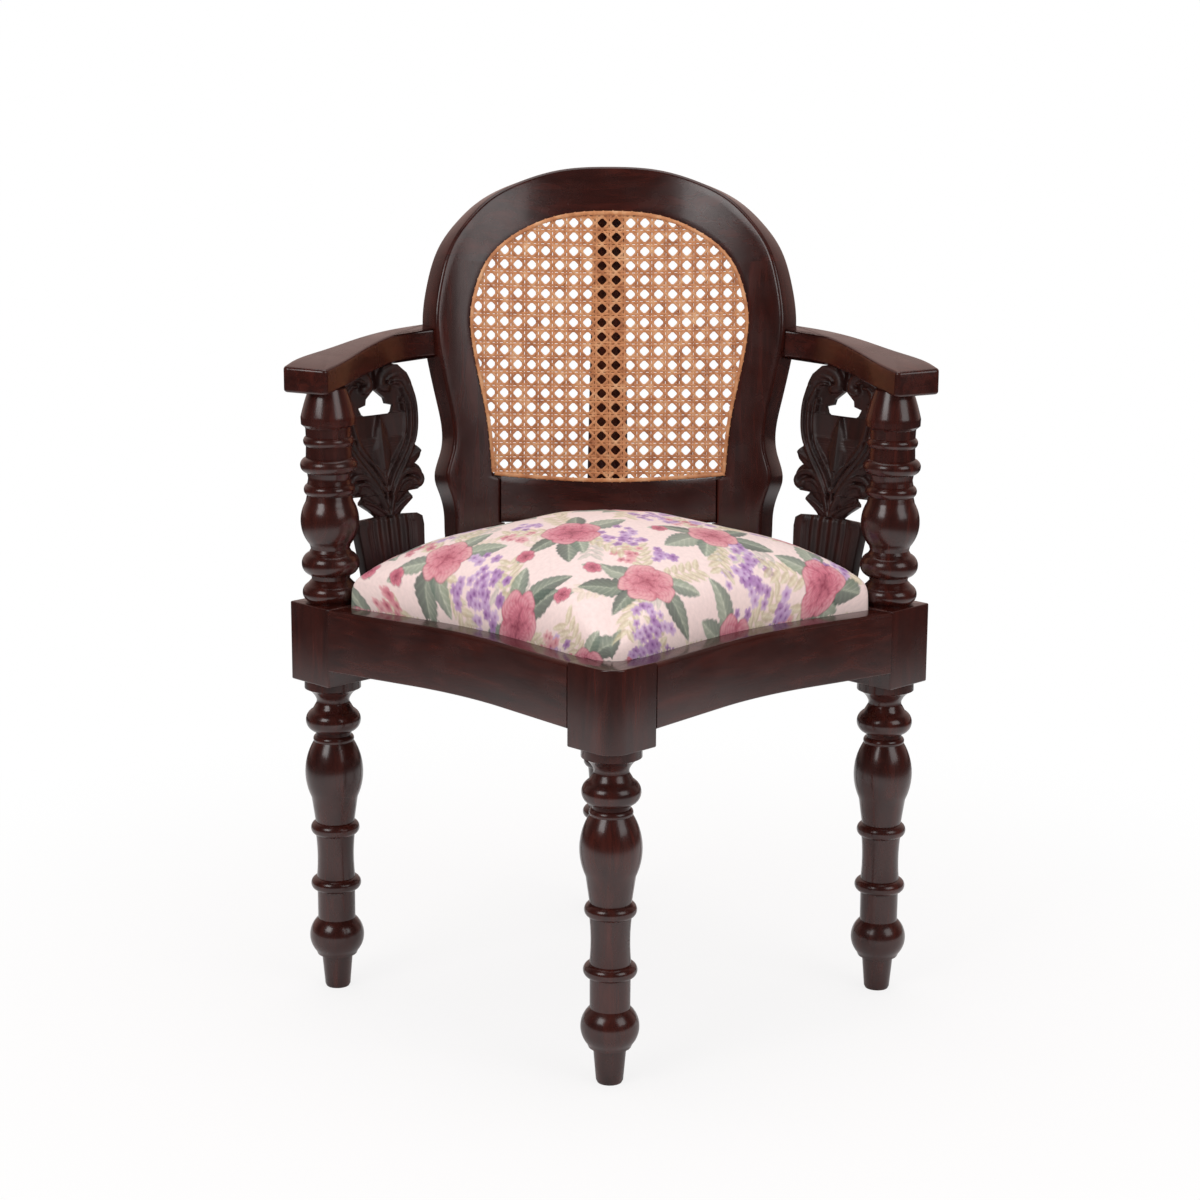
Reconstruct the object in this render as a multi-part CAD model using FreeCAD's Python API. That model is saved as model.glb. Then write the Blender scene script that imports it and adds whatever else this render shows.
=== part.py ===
import FreeCAD, Part
import math
import os

# A corner armchair: four turned legs under a diamond seat, curved arms on the two side legs,
# a caned barrel back over the rear corner, pierced splats and a drop-in upholstered seat.
# Millimetres, +Z up, front towards -Y, origin on the floor under the middle of the seat.

# Seat frame in plan
side_leg_x = 285.0
front_leg_y = 255.0
rear_leg_y = 255.0
block_side = 60.0
corner_round = 20.0
rail_bow = 24.0
bend_radius = 420.0

# Seat frame in height
block_bottom = 334.0
rail_bottom = 351.5
rail_top = 415.0
block_lip = 1.0
rebate_depth = 18.0
edge_round = 4.5

# Rails
front_rail_width = 44.0
front_rim = 25.0
rear_rail_width = 56.0
rear_rim = 44.0
tenon_width = 12.0
tenon_length = 22.0
tenon_margin = 9.0
tenon_inset = 16.0
joint_gap = 0.2

# Corner blocks and their screws
corner_block_reach = 104.0
corner_block_height = 38.0
corner_block_drop = 2.0
screw_radius = 2.0
screw_head_radius = 4.0
screw_head_height = 2.5
screw_length = 44.0
screw_spacing = 16.0

# Turned legs: steps of (depth below the block, radius); a step of four values is an arc,
# given by its middle and its end
leg_turning = [
    (0.0, 29.0),
    (8.4, 29.1),
    (13.0, 22.0, 21.0, 16.9),
    (24.0, 16.9),
    (32.0, 21.5),
    (42.6, 28.4, 55.4, 17.9),
    (59.0, 18.2),
    (62.5, 21.0, 65.5, 20.5),
    (87.0, 28.9, 126.0, 24.0),
    (152.5, 20.2),
    (159.5, 25.3, 166.5, 20.3),
    (190.0, 18.9, 213.0, 20.0),
    (220.0, 26.1, 227.0, 19.6),
]
# Foot of the leg: steps of (height above the floor, radius), from the neck down
foot_turning = [
    (76.0, 19.5),
    (56.0, 28.4, 39.8, 22.1),
    (36.4, 20.7),
    (36.2, 16.2),
    (2.5, 13.2),
    (0.0, 12.0),
]
# Arm post: steps of (height above the block, radius), from the block up
post_turning = [
    (0.0, 24.0),
    (2.0, 25.0),
    (11.5, 29.0, 19.0, 24.0),
    (24.0, 19.4),
    (28.0, 20.0),
    (40.5, 29.5, 51.5, 22.0),
    (55.5, 19.8),
    (60.0, 21.0),
    (78.0, 29.3, 104.0, 24.4),
    (111.0, 22.9),
    (117.0, 26.0, 122.5, 22.4),
    (128.0, 21.4),
    (134.0, 22.5),
    (142.5, 29.2, 149.5, 23.4),
]
# Head of the arm post: steps of (depth below the arm, radius), from the neck up
head_turning = [
    (58.5, 23.0),
    (53.5, 25.7, 48.5, 23.0),
    (39.5, 23.4),
    (36.0, 27.6),
    (29.0, 27.9),
    (15.0, 24.2, 0.0, 19.2),
]
post_tenon_radius = 11.0
post_tenon_length = 16.0

# Rear post
rear_post_base_radius = 24.0
rear_post_top_radius = 17.0
rear_post_tenon_width = 24.0
rear_post_tenon_depth = 12.0
rear_post_tenon_length = 20.0

# Back frame: a barrel-curved arch, tilted as a whole about the rail top
barrel_radius = 300.0
back_thickness = 30.0
back_tilt = 10.0
back_foot_y = 165.0
# Half outlines as (degrees round the barrel, height along the tilted back)
arch_outline = [
    (32.3, 28.0),
    (32.8, 61.5),
    (33.8, 82.0),
    (34.8, 97.6),
    (33.5, 128.0),
    (34.4, 180.0),
    (36.5, 226.0),
    (37.5, 261.0),
    (36.5, 306.0),
    (34.0, 345.0),
    (29.9, 374.8),
    (25.8, 395.6),
    (17.8, 418.8),
    (9.8, 431.5),
    (0.0, 435.2),
]
cane_outline = [
    (24.1, 105.2),
    (25.3, 163.6),
    (28.6, 243.4),
    (29.0, 275.0),
    (27.9, 302.0),
    (25.8, 327.0),
    (22.3, 347.5),
    (18.5, 361.2),
    (10.3, 379.0),
    (0.0, 384.2),
]
foot_outer_angle = 29.5
stile_inner_angle = 21.6
cane_sill_height = 98.2
back_rail_low = 51.5
back_rail_angle = 22.6
crest_joint_drop = 54.0
crest_gap = 0.8
fit_gap = 0.3
back_dowel_radius = 4.0
back_dowel_length = 36.0
stile_tenon_width = 30.0
stile_tenon_depth = 10.0
stile_tenon_length = 25.0
stile_tenon_angle = 25.8

# Cane panel and its binding strand
cane_thickness = 1.5
cane_recess = 1.0
cane_gap = 0.3
cane_pitch = 15.3
cane_eye = 9.4
cane_columns = 18
cane_rows = 17
cane_eye_margin = 4.0
binding_width = 4.0
binding_thickness = 1.0

# Arms: plan of the left arm's two edges as (x, y); their rear ends are offsets from the stile joint
arm_outer = [(-328.0, -20.0), (-318.0, 16.0), (-296.0, 54.0), (-264.0, 110.0), (-230.0, 153.0)]
arm_inner = [(-283.0, -36.0), (-268.0, 2.0), (-255.0, 46.0), (-241.0, 88.0), (-225.0, 121.0), (-204.0, 144.0)]
arm_outer_tail = (-4.0, 20.0)
arm_inner_tail = (13.0, -2.0)
arm_under = 635.3
arm_under_slope = 0.08
arm_thickness = 26.6
arm_top_slope = 0.104
arm_edge_round = 4.0
arm_dowel_radius = 5.0
arm_dowel_length = 44.0
arm_dowel_setback = 5.0

# Splats: a half outline as (distance from the middle, height up the board); a step of four
# values is an arc, given by its middle and its end
splat_from_leg = 92.0
splat_inset = 18.0
splat_lean = 9.5
splat_thickness = 16.0
splat_outline = [
    (0.0, 0.0),
    (38.0, 0.0),
    (40.5, 35.0, 43.5, 62.0),
    (42.5, 71.0, 36.5, 75.0),
    (17.0, 76.5),
    (23.0, 83.0, 34.0, 91.0),
    (31.0, 99.0),
    (52.0, 110.5, 43.5, 127.0),
    (50.0, 132.0, 51.5, 140.5),
    (44.5, 148.5),
    (52.0, 187.0, 42.0, 222.5),
    (22.0, 240.0),
    (0.0, 240.0),
]
splat_opening = [(19.5, 182.0), (23.0, 190.5), (13.5, 193.0), (12.0, 199.0), (0.0, 209.0)]
splat_tenon_width = 50.0
splat_tenon_thickness = 8.0
splat_tenon_length = 12.0

# Drop-in seat
seat_gap = 1.0
seat_front_round = 26.0
seat_side_round = 6.0
seat_soft_round = 48.0
seat_lip = 2.0
seat_bar_width = 48.0
seat_bar_height = 16.0
cloth_thickness = 1.2
soft_gap = 0.3
web_width = 46.0
web_thickness = 1.5
web_count = 5
web_pitch = 62.0
hessian_thickness = 0.8
hessian_inset = 8.0
hem_width = 22.0
# Crown: (height above the rail top, share of the plan that is left, share left at the rear corner,
# which is lower because it passes under the back)
crown = [(15.0, 0.985, 0.80), (39.0, 0.92, 0.62), (63.0, 0.77, 0.48), (80.0, 0.56, 0.36), (88.0, 0.35, 0.24)]

# Worked out from the sizes above
V = FreeCAD.Vector
UP = V(0, 0, 1)
DIAGONAL = math.sqrt(0.5)
half_block = block_side / 2
block_top = rail_top + block_lip
ledge = rail_top - rebate_depth
tall = 2000.0
foot_cut = -80.0


def mirrored(shape):
    """The right-hand twin of a left-hand shape."""
    return shape.mirror(V(0, 0, 0), V(1, 0, 0))


def turned_back(shape):
    """The rear twin of a shape on the front half of the seat."""
    return shape.mirror(V(0, 0, 0), V(0, 1, 0))


def box(x, y, z):
    """Box from three (low, high) pairs."""
    return Part.makeBox(x[1] - x[0], y[1] - y[0], z[1] - z[0], V(x[0], y[0], z[0]))


def grown(pair, gap):
    """A (low, high) pair with a gap added at both ends."""
    return (pair[0] - gap, pair[1] + gap)


def cylinder(start, direction, radius, length):
    return Part.makeCylinder(radius, length, start, direction)


def largest(shape):
    """The main solid of a cut that may leave slivers."""
    return max(shape.Solids, key=lambda solid: solid.Volume)


def rounded_outline(corners):
    """Closed wire at height 0: straight sides, and a tangent arc at each (x, y, radius) corner."""
    count = len(corners)
    arcs = []
    for index, (x, y, radius) in enumerate(corners):
        here = V(x, y, 0)
        back = V(*corners[index - 1][:2], 0) - here
        on = V(*corners[(index + 1) % count][:2], 0) - here
        back.normalize()
        on.normalize()
        half = back.getAngle(on) / 2
        reach = radius / math.tan(half)
        middle = back + on
        middle.normalize()
        middle = here + middle * (radius / math.sin(half) - radius)
        arcs.append((here + back * reach, middle, here + on * reach, radius))
    edges = []
    for index, (first, middle, last, radius) in enumerate(arcs):
        if radius > 0:
            edges.append(Part.Arc(first, middle, last).toShape())
        edges.append(Part.makeLine(last, arcs[(index + 1) % count][0]))
    return Part.Wire(edges)


def prism(corners, low, high):
    """Upright solid over a rounded outline."""
    face = Part.Face(rounded_outline(corners))
    face.translate(V(0, 0, low))
    return face.extrude(V(0, 0, high - low))


def stepped_edges(steps, place):
    """Edges through steps of two values (a line) or four values (an arc by middle and end)."""
    edges = []
    here = place(*steps[0])
    for step in steps[1:]:
        there = place(*step[-2:])
        if len(step) == 2:
            edges.append(Part.makeLine(here, there))
        else:
            edges.append(Part.Arc(here, place(*step[:2]), there).toShape())
        here = there
    return edges


def turning(steps, axis_x, axis_y):
    """Solid of revolution about an upright axis, from steps of (level, radius)."""
    edges = stepped_edges(steps, lambda level, radius: V(radius, 0, level))
    first = V(steps[0][-1], 0, steps[0][-2])
    last = V(steps[-1][-1], 0, steps[-1][-2])
    edges.append(Part.makeLine(last, V(0, 0, last.z)))
    edges.append(Part.makeLine(V(0, 0, last.z), V(0, 0, first.z)))
    edges.append(Part.makeLine(V(0, 0, first.z), first))
    solid = Part.Face(Part.Wire(edges)).revolve(V(0, 0, 0), UP, 360)
    solid.translate(V(axis_x, axis_y, 0))
    return solid


# Seat lines. They are worked out square to the left block: x runs from the left block to the
# front block, y runs inwards, and the left block's axis is the origin.

def from_left_block(shape):
    """Turns a shape from the left block's own axes into the chair's."""
    placed = shape.copy()
    placed.rotate(V(0, 0, 0), UP, -45)
    placed.translate(V(-side_leg_x, 0, 0))
    return placed


def end_block(leg_y):
    """Middle of the front or rear block on the left block's axes."""
    return (side_leg_x + leg_y) * DIAGONAL, (side_leg_x - leg_y) * DIAGONAL


def seat_line(leg_y, bow, inset):
    """Start, bend and end of a rail's outer face, moved in by inset and square at both blocks."""
    far_x, far_y = end_block(leg_y)
    start = V(half_block, -half_block, 0)
    end = V(far_x - half_block, far_y - half_block, 0)
    bend = (start + end) * 0.5 + V(0, bow, 0)
    first = bend - start
    second = end - bend
    first.normalize()
    second.normalize()
    first_in = V(-first.y, first.x, 0) * inset
    second_in = V(-second.y, second.x, 0) * inset
    low = start + first_in
    high = end + second_in
    low = low + first * ((half_block - low.x) / first.x)
    high = high + second * ((end.x - high.x) / second.x)
    if bow == 0:
        return low, None, high
    slope_first = first.y / first.x
    slope_second = second.y / second.x
    x = (high.y - low.y + slope_first * low.x - slope_second * high.x) / (slope_first - slope_second)
    return low, V(x, low.y + slope_first * (x - low.x), 0), high


def rail_band(leg_y, bow, near, far):
    """Corners of the band between two insets of a rail's outer face."""
    corners = []
    for inset, order in ((near, 1), (far, -1)):
        low, bend, high = seat_line(leg_y, bow, inset)
        run = [(low.x, low.y, 0)]
        if bend is not None:
            run.append((bend.x, bend.y, bend_radius + inset))
        run.append((high.x, high.y, 0))
        corners += run[::order]
    return corners


def rail_tenons(leg_y, gap):
    """The two end tenons of a rail, or with a gap the mortises that they go into."""
    far_x, far_y = end_block(leg_y)
    across = grown((-half_block + tenon_inset, -half_block + tenon_inset + tenon_width), gap)
    height = grown((rail_bottom + tenon_margin, ledge - tenon_margin), gap)
    near = box((half_block - tenon_length - gap, half_block + 1.0), across, height)
    start = far_x - half_block - 1.0
    there = (across[0] + far_y, across[1] + far_y)
    far = box((start, start + 1.0 + tenon_length + gap), there, height)
    return [near, far]


def left_rail(leg_y, bow, width, rim):
    """A left-hand rail: band, seat rebate, rounded outer edge and tenons."""
    rail = prism(rail_band(leg_y, bow, 0, width), rail_bottom, rail_top)
    outer = [edge for edge in rail.Edges if abs(edge.CenterOfMass.z - rail_top) < 0.01]
    on_face = [edge for edge in outer if touches_face(edge, leg_y, bow)]
    rail = rail.makeFillet(edge_round, on_face)
    rebate = prism(rail_band(leg_y, bow, rim, width + 5.0), ledge, rail_top + 5.0)
    rail = rail.cut(rebate)
    for tenon in rail_tenons(leg_y, 0):
        rail = rail.fuse(tenon)
    return from_left_block(rail.removeSplitter())


def touches_face(edge, leg_y, bow):
    """Whether a top edge lies on the rail's outer face."""
    line = Part.Wire(stepped_edges(outer_steps(leg_y, bow), lambda x, y: V(x, y, rail_top)))
    middle = edge.valueAt((edge.FirstParameter + edge.LastParameter) / 2)
    return line.distToShape(Part.Vertex(middle))[0] < 0.05


def outer_steps(leg_y, bow):
    """The rail's outer face as line, arc, line in plan."""
    low, bend, high = seat_line(leg_y, bow, 0)
    if bend is None:
        return [(low.x, low.y), (high.x, high.y)]
    arc = rounded_outline([(low.x, low.y, 0), (bend.x, bend.y, bend_radius), (high.x, high.y, 0)]).Edges[1]
    first, last = (vertex.Point for vertex in arc.Vertexes)
    middle = arc.valueAt((arc.FirstParameter + arc.LastParameter) / 2)
    return [(low.x, low.y), (first.x, first.y), (middle.x, middle.y, last.x, last.y), (high.x, high.y)]


# Legs

def leg_block(x, y, rounded):
    """Square block set cornerwise; the outer corner of the front and rear ones is rounded."""
    block = box((-half_block, half_block), (-half_block, half_block), (block_bottom, block_top))
    if rounded:
        outer = [edge for edge in block.Edges if edge.CenterOfMass.x > 0 and edge.CenterOfMass.y < 0
                 and abs(edge.tangentAt(edge.FirstParameter).z) > 0.9]
        block = block.makeFillet(corner_round, outer)
    block.rotate(V(0, 0, 0), UP, -45)
    if y > 0:
        block.rotate(V(0, 0, 0), UP, 180)
    block.translate(V(x, y, 0))
    return block


def levelled(steps, start, way):
    """Steps measured up or down from a start level, as steps of (level, radius)."""
    made = []
    for step in steps:
        levels = [start + way * value for value in step[::2]]
        made.append(tuple(value for pair in zip(levels, step[1::2]) for value in pair))
    return made


def turned_leg(x, y):
    """The turned part under the block, from the collar to the foot."""
    return turning(levelled(leg_turning, block_bottom, -1) + foot_turning, x, y)


def arm_plane(level, slope):
    """Everything above a plane at a level over the leg line that rises towards the back."""
    near, far = -400.0, 400.0
    corners = [V(-500, near, level + slope * near), V(-500, far, level + slope * far),
               V(-500, far, tall), V(-500, near, tall)]
    return Part.Face(Part.makePolygon(corners + corners[:1])).extrude(V(1000, 0, 0))


def left_leg_blank():
    """Left leg with its arm post and the tenon that goes into the arm."""
    spare = 3.0
    post = levelled(post_turning, block_top, 1)
    head = levelled(head_turning, arm_under, -1)
    head.append((arm_under + spare, head[-1][-1]))
    post = turning(post + head, -side_leg_x, 0)
    post = post.cut(arm_plane(arm_under, arm_under_slope))
    tenon = cylinder(V(-side_leg_x, 0, arm_under - 10.0), UP, post_tenon_radius, 10.0 + post_tenon_length)
    leg = turned_leg(-side_leg_x, 0).fuse(leg_block(-side_leg_x, 0, False))
    return leg.fuse(post).fuse(tenon)


def mortises(leg_y):
    """Mortises of one left-hand rail, front or rear, in the chair's axes."""
    return [from_left_block(hole) for hole in rail_tenons(leg_y, joint_gap)]


def make_left_leg():
    leg = left_leg_blank()
    leg = leg.cut(mortises(front_leg_y)[0])
    leg = leg.cut(turned_back(mortises(rear_leg_y)[0]))
    return leg.removeSplitter()


def make_front_leg():
    """Front leg; its block carries the seat rebate on between the two front rails."""
    leg = turned_leg(0, -front_leg_y).fuse(leg_block(0, -front_leg_y, True))
    leg = leg.cut(prism(seat_corners(-seat_gap), ledge, tall))
    hole = mortises(front_leg_y)[1]
    return leg.cut(hole).cut(mirrored(hole)).removeSplitter()


def make_rear_leg():
    """Rear leg carried up as a plain tapered post, with a tenon let into the crest."""
    crest_under = back_place(Part.Vertex(V(0, back_thickness / 2, cane_top))).Point.z
    leg = turned_leg(0, rear_leg_y).fuse(leg_block(0, rear_leg_y, True))
    post = Part.makeCone(rear_post_base_radius, rear_post_top_radius, crest_under - block_top, V(0, rear_leg_y, block_top))
    post = post.cut(crest_space)
    half = rear_post_tenon_width / 2
    middle = rear_leg_y - rear_post_top_radius / 4
    depth = (middle - rear_post_tenon_depth / 2, middle + rear_post_tenon_depth / 2)
    tenon = box((-half, half), depth, (crest_under - 15.0, crest_under + rear_post_tenon_length))
    leg = leg.fuse(post).fuse(tenon)
    hole = turned_back(mortises(rear_leg_y)[1])
    return leg.cut(hole).cut(mirrored(hole)).removeSplitter()


# Back frame. It is drawn upright with the middle of its front face at the origin and the
# barrel's axis in front of it, and is then tilted back and set on the rail.

def back_place(shape):
    """Tilts a shape of the back and sets it at the rail top."""
    placed = shape.copy()
    placed.rotate(V(0, 0, 0), V(1, 0, 0), -back_tilt)
    placed.translate(V(0, back_foot_y, rail_top))
    return placed


def barrel(depth_near, depth_far, low, high):
    """Part of the barrel's wall between two depths behind its front face."""
    spread = math.radians(48)
    arcs = []
    for depth in (depth_near, depth_far):
        radius = barrel_radius + depth
        points = [V(radius * math.sin(angle), radius * math.cos(angle) - barrel_radius, low)
                  for angle in (-spread, 0, spread)]
        arcs.append((Part.Arc(*points).toShape(), points))
    sides = [Part.makeLine(arcs[0][1][end], arcs[1][1][end]) for end in (0, 2)]
    wire = Part.Wire(Part.sortEdges([arcs[0][0], arcs[1][0]] + sides)[0])
    return Part.Face(wire).extrude(V(0, 0, high - low))


def radial_prism(runs):
    """Solid whose sides point at the barrel's axis; each run of (degrees, height) is one smooth edge."""
    wires = []
    for reach in (barrel_radius * 0.6, barrel_radius + back_thickness + 20.0):
        edges = []
        for run in runs:
            points = [V(reach * math.tan(math.radians(angle)), reach - barrel_radius, height)
                      for angle, height in run]
            if len(points) == 2:
                edges.append(Part.makeLine(*points))
            else:
                curve = Part.BSplineCurve()
                curve.interpolate(Points=points, Parameters=[float(index) for index in range(len(points))])
                edges.append(curve.toShape())
        wires.append(Part.Wire(edges))
    return Part.makeLoft(wires, True, True)


def whole(half):
    """A half outline joined to its mirror image, from the left foot over the top to the right foot."""
    left = [(-angle, height) for angle, height in half]
    return left + half[-2::-1]


def offset_outline(half, gap):
    """A half outline moved outwards by a gap, square to its own direction."""
    moved = []
    per_degree = math.radians(barrel_radius)
    for index, (angle, height) in enumerate(half):
        before = half[max(index - 1, 0)]
        after = half[min(index + 1, len(half) - 1)]
        run = (after[0] - before[0]) * per_degree
        rise = after[1] - before[1]
        length = math.hypot(run, rise)
        if index == len(half) - 1:
            run, rise, length = -1.0, 0.0, 1.0
        moved.append((angle + gap * rise / length / per_degree, height - gap * run / length))
    return moved


def arch_runs(gap):
    """Outer outline of the back, grown by a gap and closed below the rail top."""
    outer = whole(offset_outline([(foot_outer_angle, 0.0)] + arch_outline, gap))
    foot_left = [(outer[0][0], foot_cut), outer[0]]
    foot_right = [outer[-1], (outer[-1][0], foot_cut)]
    return [foot_left, outer, foot_right, [foot_right[-1], foot_left[0]]]


def cane_runs(gap):
    """Outline of the caned opening, grown by a gap."""
    sides = whole(offset_outline(cane_outline, gap))
    corner = (sides[-1][0], sides[-1][1] - gap)
    sides[0] = (-corner[0], corner[1])
    sides[-1] = corner
    sill = [corner, (0.0, cane_sill_height - gap), sides[0]]
    return [sides, sill]


def low_runs():
    """Outline of the open space under the back's bottom rail."""
    left, right = -stile_inner_angle, stile_inner_angle
    return [[(left, foot_cut), (left, back_rail_low)], [(left, back_rail_low), (right, back_rail_low)],
            [(right, back_rail_low), (right, foot_cut)], [(right, foot_cut), (left, foot_cut)]]


def ring_sector(angle, low, high):
    """Everything within an angle either side of the middle, between two heights."""
    return radial_prism([[(-angle, low), (-angle, high)], [(-angle, high), (angle, high)],
                         [(angle, high), (angle, low)], [(angle, low), (-angle, low)]])


def dowel_along(start, direction, radius, length):
    """Dowel centred on a point of a joint."""
    return cylinder(start - direction * (length / 2), direction, radius, length)


def on_barrel(angle, height):
    """Point in the middle of the back's thickness, with the directions across and along the curve."""
    turn = math.radians(angle)
    reach = barrel_radius + back_thickness / 2
    point = V(reach * math.sin(turn), reach * math.cos(turn) - barrel_radius, height)
    return point, V(math.cos(turn), -math.sin(turn), 0)


cane_top = cane_outline[-1][1]
crest_joint_height = cane_top - crest_joint_drop
arch = barrel(0, back_thickness, foot_cut, tall).common(radial_prism(arch_runs(0)))
arch = arch.cut(radial_prism(cane_runs(0))).cut(radial_prism(low_runs()))
above_joint = box((-tall, tall), (-tall, tall), (crest_joint_height, tall))
crest_blank = arch.common(above_joint)
crest_space = back_place(barrel(-fit_gap, back_thickness + fit_gap, cane_top - crest_gap, tall))
arch_space = barrel(-fit_gap, back_thickness + fit_gap, foot_cut, tall).common(radial_prism(arch_runs(fit_gap)))
rail_wedge = ring_sector(back_rail_angle, back_rail_low - 20.0, cane_outline[0][1] + 20.0)
back_rail_blank = arch.common(rail_wedge)
stile_blank = arch.cut(above_joint).cut(rail_wedge)
stile_blank = min(stile_blank.Solids, key=lambda solid: solid.CenterOfMass.x)


def back_dowels(gap):
    """Dowels of the crest joints and of the bottom rail joints, or with a gap their holes."""
    made = []
    crest_middle = (arch_angle(crest_joint_height) + cane_angle(crest_joint_height)) / 2
    for side in (-1, 1):
        for step in (-1, 1):
            point, along = on_barrel(side * crest_middle, crest_joint_height)
            point = point + along * (step * back_dowel_radius * 2.4)
            made.append(dowel_along(point, UP, back_dowel_radius + gap, back_dowel_length + 2 * gap))
        for step in (-1, 1):
            middle = (back_rail_low + cane_sill_height) / 2
            point, along = on_barrel(side * back_rail_angle, middle + step * back_dowel_radius * 3)
            made.append(dowel_along(point, along, back_dowel_radius + gap, back_dowel_length + 2 * gap))
    return made


def angle_at(outline, height):
    """Angle of a half outline at a height, between its two nearest points."""
    for (angle, low), (next_angle, high) in zip(outline, outline[1:]):
        if low <= height <= high:
            return angle + (next_angle - angle) * (height - low) / (high - low)
    return outline[-1][0]


def arch_angle(height):
    return angle_at(arch_outline, height)


def cane_angle(height):
    return angle_at(cane_outline, height)


def drilled(blank, holes):
    """A blank of the back with its dowel holes."""
    for hole in holes:
        blank = blank.cut(hole)
    return blank


def stile_tenon(gap):
    """Tenon under the left stile, or with a gap its mortise in the rear rail, in the chair's axes."""
    turn = math.radians(stile_tenon_angle)
    reach = barrel_radius + back_thickness / 2
    half = stile_tenon_width / 2
    thick = stile_tenon_depth / 2
    tenon = box(grown((-half, half), gap), grown((-thick, thick), gap), (-stile_tenon_length - gap, 6.0))
    tenon.rotate(V(0, 0, 0), UP, stile_tenon_angle)
    tenon.translate(V(-reach * math.sin(turn), reach * math.cos(turn) - barrel_radius + back_foot_y, rail_top))
    return tenon


def make_left_stile(holes):
    """Left stile, cut level on the rail top, with its tenon."""
    stile = back_place(drilled(stile_blank, holes))
    stile = largest(stile.cut(box((-tall, tall), (-tall, tall), (-tall, rail_top))))
    return stile.fuse(stile_tenon(0)).removeSplitter()


def make_crest(holes, rear_leg):
    """Arched crest, drilled for its dowels and mortised for the rear post."""
    crest = back_place(drilled(crest_blank, holes))
    half = rear_post_tenon_width / 2 + joint_gap
    middle = rear_leg_y - rear_post_top_radius / 4
    depth = rear_post_tenon_depth / 2 + joint_gap
    top = rear_leg.BoundBox.ZMax + joint_gap
    return crest.cut(box((-half, half), (middle - depth, middle + depth), (top - 60.0, top)))


def make_cane_panel():
    """Sheet of cane set just behind the front face, with a square grid of eyes."""
    sheet = barrel(cane_recess, cane_recess + cane_thickness, 0, arch_outline[-1][1])
    sheet = sheet.common(radial_prism(cane_runs(-cane_gap)))
    step = math.degrees(cane_pitch / barrel_radius)
    first_row = cane_sill_height + cane_pitch
    eyes = []
    for column in range(cane_columns):
        angle = (column - (cane_columns - 1) / 2) * step
        for row in range(cane_rows):
            height = first_row + row * cane_pitch
            if eye_fits(abs(angle), height):
                eyes.append(cane_eye_prism(angle, height))
    return back_place(sheet.cut(Part.makeCompound(eyes)))


def eye_fits(angle, height):
    """Whether an eye keeps its margin from the edge of the opening."""
    reach = cane_eye / 2 + cane_eye_margin
    side = math.degrees(reach / barrel_radius)
    inside = [angle + side < cane_angle(height + shift) for shift in (-reach, reach)]
    under = cane_outline[-1][1] - reach
    return all(inside) and height < under and height > cane_sill_height + reach


def cane_eye_prism(angle, height):
    """Four-sided cutter for one eye, standing on its corner and pointing at the barrel's axis."""
    point, along = on_barrel(angle, height)
    half = cane_eye / 2
    inward = V(along.y, -along.x, 0)
    near = point + inward * (back_thickness / 2 + 5.0)
    corners = [near + along * half, near + UP * half, near - along * half, near - UP * half]
    face = Part.Face(Part.makePolygon(corners + corners[:1]))
    return face.extrude(inward * -(back_thickness / 2 + 10.0))


def make_binding():
    """Flat strand of cane laid round the opening on the frame's front face, joined from short lengths."""
    ring = radial_prism(cane_runs(binding_width)).cut(radial_prism(cane_runs(0)))
    wall = barrel(-binding_thickness - cane_gap, -cane_gap, 0, arch_outline[-1][1])
    corner = cane_outline[0][1] + binding_width
    lengths = []
    for height in ((0, corner), (corner, crest_joint_height), (crest_joint_height, tall)):
        for side in ((-tall, 0), (0, tall)):
            lengths.append(wall.common(ring.common(box(side, (-tall, tall), height))))
    return back_place(lengths[0].fuse(lengths[1:]))


# Arms

def smooth_edge(points):
    curve = Part.BSplineCurve()
    curve.interpolate([V(x, y, 0) for x, y in points])
    return curve.toShape()


def arm_joint():
    """Where the left arm meets its stile, with the direction of the dowel, on the back's own axes."""
    level = arm_under + arm_under_slope * back_foot_y + arm_thickness / 2
    height = (level - rail_top) / math.cos(math.radians(back_tilt))
    return on_barrel(-arch_angle(height), height)


def arm_dowel(gap):
    """Dowel between the left stile and the arm's rear end, behind the stile's middle, or with a gap its hole."""
    point, along = arm_joint()
    behind = V(-along.y, along.x, 0) * arm_dowel_setback
    dowel = dowel_along(point + behind, along, arm_dowel_radius + gap, arm_dowel_length + 2 * gap)
    return back_place(dowel)


def make_left_arm():
    """Left arm: curved plan, sloped faces, rounded edges, coped to the stile."""
    end = back_place(Part.Vertex(arm_joint()[0])).Point
    outer = arm_outer + [(end.x + arm_outer_tail[0], end.y + arm_outer_tail[1])]
    inner = arm_inner + [(end.x + arm_inner_tail[0], end.y + arm_inner_tail[1])]
    outline = [smooth_edge(outer), smooth_edge(inner)]
    outline.append(Part.makeLine(V(*outer[0], 0), V(*inner[0], 0)))
    outline.append(Part.makeLine(V(*outer[-1], 0), V(*inner[-1], 0)))
    plan = Part.Face(Part.Wire(Part.sortEdges(outline)[0]))
    arm = plan.extrude(V(0, 0, tall))
    arm = arm.common(arm_plane(arm_under, arm_under_slope))
    arm = arm.cut(arm_plane(arm_under + arm_thickness, arm_top_slope))
    front = [edge for edge in arm.Edges if edge.CenterOfMass.y < -5]
    arm = arm.makeFillet(arm_edge_round, front)
    arm = largest(arm.cut(back_place(arch_space)))
    socket = cylinder(V(-side_leg_x, 0, 0), UP, post_tenon_radius + joint_gap,
                      arm_under + post_tenon_length + 2 * joint_gap)
    return arm.cut(socket).cut(arm_dowel(joint_gap))


# Splats

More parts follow.
